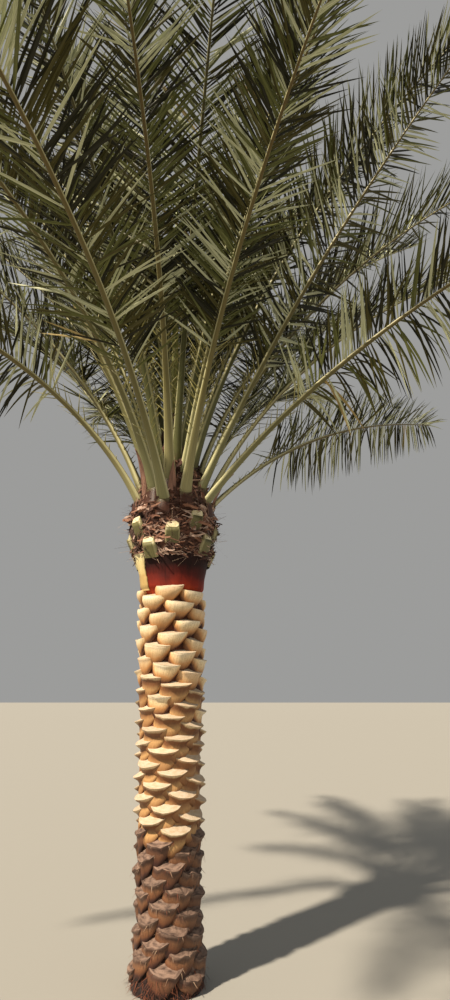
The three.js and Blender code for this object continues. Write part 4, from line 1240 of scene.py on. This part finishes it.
def make_head_threads():
    """Loose threads of the fibre cloth that stand out from the head."""
    rng = np.random.default_rng(SEEDS["threads"])
    heap = Heap()
    for _ in range(HEAD_THREADS["count"]):
        azimuth, height = rng.uniform(0, 360), rng.uniform(*HEAD_THREADS["height"])
        root = on_trunk(azimuth, head_radius(height) - 3, height)
        outward = level_outward(root)
        round_it = np.cross(UP, outward)
        ahead = outward * rng.uniform(0.1, 0.9) + round_it * rng.normal(0, 0.8) + UP * rng.normal(0.0, 0.7)
        across = unit(np.cross(unit(ahead), outward) + rng.normal(0, 0.2, 3))
        length, width = rng.uniform(*HEAD_THREADS["length"]), rng.uniform(*HEAD_THREADS["width"])
        curl = rng.normal(0, 0.9)
        finish = int(rng.uniform() < 0.35)
        ribbon(root, unit(ahead), across, length, width, curl, heap, finish, steps=5, end=0.4)
    dark = palm_fibre("thread_dark", "#2a1712", "#5f4035")
    pale = palm_fibre("thread_pale", "#8a6e5c", "#c2a68c")
    heap.make("head_threads", [dark, pale], "trunk", ["trunk"], smooth=False)


def stalk_section(sides=20):
    """Section of a cut stalk, for a width and a depth of 1: nearly square above, rounder below."""
    turn = full_turn(sides)
    wide, high = np.abs(np.cos(turn)), np.abs(np.sin(turn))
    across = 0.5 * np.sign(np.cos(turn)) * wide ** 0.55
    return across, np.where(np.sin(turn) > 0, 0.46 * high ** 0.4, -0.48 * high ** 0.75)


def stub_rings(index):
    """Rings of one cut stalk, from its root in the head to its cut, and its directions."""
    rng = np.random.default_rng(SEEDS["stubs"] + index)
    azimuth, top = leaf_azimuth(FROND_COUNT + index), STUB_TOP - STUB_STEP * index
    ahead, side, over = aimed(azimuth, STUB["rise"])
    end = on_trunk(azimuth, head_radius(top) + STUB["depth"] * STUB["stand"], top)
    across, lift = stalk_section()
    slant, slope = rng.uniform(-9, 9), rng.uniform(0.6, 1.3)
    # the cut slants down towards its outer side
    cut_back = (lift - 0.5) * STUB["depth"] * slope + across * slant
    rings = []
    for back, share in STUB_RINGS:
        ring = end - ahead * back + np.outer(across * STUB["width"] * share, side)
        ring = ring + np.outer(lift * STUB["depth"] * share, over)
        rings.append(ring + np.outer(cut_back * (back < 20), ahead))
    return np.array(rings), ahead, side, over


def stub_cut_mesh(rim, ahead, side, over, index, heap):
    """The cut face of a stalk, a little hollow, on a metre of its own of the grain map."""
    middle = rim.mean(0)
    lid = [rim] + [middle + (rim - middle) * share - ahead * 1.2 for share in (0.66, 0.33)]
    lid = np.array(lid + [np.repeat(middle[None] - ahead * 1.5, len(rim), 0)])
    flat = (lid - middle) @ np.stack([side, over], -1)
    grain = flat + [GRAIN_STEP * index + GRAIN_STEP / 2, 30]
    heap.add(lid, grid_faces(len(lid), len(rim), closed=True), grain, 1)


def make_stubs():
    # its pale margins, like a rib's, are partly painted highlight
    body = rib_skin("cut_stalk_skin", "#64603c", "#716c45", "#7c774e", "#b5ac82")
    cut = cut_palm_wood("cut_stalk_face", "#f0e4bf", "#d3c595", "#8e7f4a")
    across, _ = stalk_section()
    for index in range(STUB_COUNT):
        rings, ahead, side, over = stub_rings(index)
        heap = Heap()
        grain = grain_of(across * 2 * RIB_EDGE, sweep_grain(rings)[..., 1] + 300)
        heap.add(rings, grid_faces(len(rings), len(across), closed=True), grain, 0)
        stub_cut_mesh(rings[-1], ahead, side, over, index, heap)
        heap.make(f"stub_{index + 1:02d}_stalk", [body, cut], "stub", [f"stub_{index + 1:02d}"])


def make_spathes():
    """Dry sheaths of flower stalks: cupped papery blades that lean out and end in a point."""
    paper = papery_sheath("dry_spathe_paper", "#a87f6c", "#553629")
    steps = 22
    share = np.arange(steps + 1) / steps
    width = SPATHE["width"] * np.sin(math.pi * (0.25 + 0.74 * share))[:, None]
    depth = SPATHE["depth"] * (1 - 0.5 * share)[:, None]
    across = np.linspace(-0.5, 0.5, 9)
    cup = 0.5 - 4 * (0.25 - across ** 2)
    for name, azimuth, height, length, rise in SPATHES:
        ahead, side, over = aimed(azimuth + SPATHE["swing"] * share, rise - SPATHE["bend"] * share * share)
        start = on_trunk(azimuth, head_radius(height) - 6, height - SPATHE["root"])
        line = path_of(start, ahead, length + SPATHE["root"])
        outer = rings_along(line, side, over, across * width, cup * depth)
        inner = outer + over[:, None] * SPATHE["thick"]
        rings = np.concatenate([outer, inner[:, ::-1]], 1)
        rings = rings + ripple(rings, 40, seed=61)[..., None] * over[:, None] * 1.5
        heap = Heap()
        heap.add(rings, tube_faces(*rings.shape[:2]), sweep_grain(rings), 0)
        heap.make(f"{name}_paper", [paper], "spathe", [name])


def make_torn_base():
    """A pale strip of a leaf base that was torn down over the sheath band."""
    pale = leaf_base_skin("torn_base_skin", [
        (0.0, "#e9dfb4"), (0.4, "#e0d096"), (0.9, "#d2ba7c"), (1.0, "#b8985e"),
    ], "#b58f4e")
    steps, columns = 20, 11
    share = np.arange(steps + 1) / steps
    across = np.linspace(-1, 1, columns)
    z = lerp(TORN_BASE["top"], TORN_BASE["bottom"], share)[:, None]
    width = lerp(TORN_BASE["top_width"], TORN_BASE["bottom_width"], share)[:, None]
    edge = ripple(np.stack([share * 9, share * 0, share * 0], -1), 2.2, seed=71)[:, None]
    ragged = 1 + 0.14 * edge * np.abs(across)
    half = np.degrees(width / 2 / head_radius(z)) * ragged
    azimuth = TORN_BASE["azimuth"] + TORN_BASE["swing"] * share[:, None] + half * across
    thick = TORN_BASE["thick"] * (1 - 0.35 * across ** 2)
    outer = head_radius(z) + thick + TORN_BASE["ridge"] * (1 - np.abs(across))
    front, back = on_trunk(azimuth, outer, z), on_trunk(azimuth, head_radius(z) + TORN_BASE["gap"], z)
    rings = np.concatenate([front, back[:, ::-1]], 1)
    around = 2 * columns
    faces = grid_faces(steps + 1, around, closed=True)
    faces += [tuple(range(around)), tuple(steps * around + i for i in reversed(range(around)))]
    # on the grain map it lies within one metre, as each cut base does
    grain = sweep_grain(rings) + [440, 0]
    heap = Heap()
    heap.add(rings, turned_over(faces), grain, 0)
    heap.make("torn_base_strip", [pale], "torn_base", ["torn_base"])


def make_spear():
    """The next leaf, still folded to a pleated rod at the heart."""
    skin = rib_skin("folded_leaf_skin", "#b9b871", "#a7ad66", "#8f9a58")
    ahead, _, _ = aimed(SPEAR["azimuth"], 90 - SPEAR["lean"])
    foot = np.array([LEAN * HEART[0], 0, HEART[0] + 1])
    steps, sides = 40, 20
    share = np.arange(steps + 1) / steps
    turn = full_turn(sides)
    pleat = 1 + 0.07 * np.cos(turn * 5) + 0.03 * np.cos(turn * 10 + 1)
    radius = SPEAR["radius"] * 0.93 * along(SPEAR_TAPER, share)[:, None] * pleat
    line = foot + share[:, None] * ahead * SPEAR["length"]
    rings = line[:, None] + np.stack([radius * np.cos(turn), radius * np.sin(turn), radius * 0], -1)
    grain = grain_of(30 * np.cos(turn), share[:, None] * SPEAR["length"])
    heap = Heap()
    heap.add(rings, tube_faces(steps + 1, sides), grain, 0)
    heap.make("spear_leaf", [skin], "spear", ["spear"])


# Stage

def make_floor():
    """The floor lies a millimetre under the foot."""
    half = FLOOR_HALF
    corners = np.array([(-half, -half, -1), (half, -half, -1), (half, half, -1), (-half, half, -1)]) * MM
    floor = bpy.data.meshes.new("studio_floor")
    floor.from_pydata(corners.tolist(), [], [(0, 1, 2, 3)])
    floor.materials.append(pale_floor())
    piece = bpy.data.objects.new("studio_floor", floor)
    bpy.context.scene.collection.objects.link(piece)


def make_lights():
    world = bpy.data.worlds.new("studio")
    world.use_nodes = True
    background = world.node_tree.nodes["Background"]
    background.inputs["Color"].default_value = linear("#e6e6e4")
    background.inputs["Strength"].default_value = SKY_STRENGTH
    bpy.context.scene.world = world
    bpy.context.scene.view_settings.view_transform = "Standard"
    for name, strength, spread, azimuth, rise, colour in LIGHTS:
        light = bpy.data.lights.new(name, "SUN")
        light.energy = strength
        light.angle = math.radians(spread)
        light.color = linear(colour)[:3]
        lamp = bpy.data.objects.new(name, light)
        lamp.rotation_euler = (math.radians(90 - rise), 0, math.radians(azimuth))
        bpy.context.scene.collection.objects.link(lamp)


def make_camera():
    camera = bpy.data.cameras.new("camera")
    camera.sensor_width = SENSOR
    camera.lens = SENSOR * FOCAL_PIXELS / FRAME_HEIGHT
    camera.clip_end = 200
    place = bpy.data.objects.new("camera", camera)
    place.location = CAMERA_PLACE
    place.rotation_euler = (math.radians(90 + CAMERA_TILT), 0, 0)
    bpy.context.scene.collection.objects.link(place)
    bpy.context.scene.camera = place


make_camera()
make_floor()
make_lights()
make_stem()
make_boots()
make_sheath_band()
make_head_core()
make_head_rags()
make_head_threads()
make_stubs()
make_spathes()
make_torn_base()
make_spear()
make_fronds()
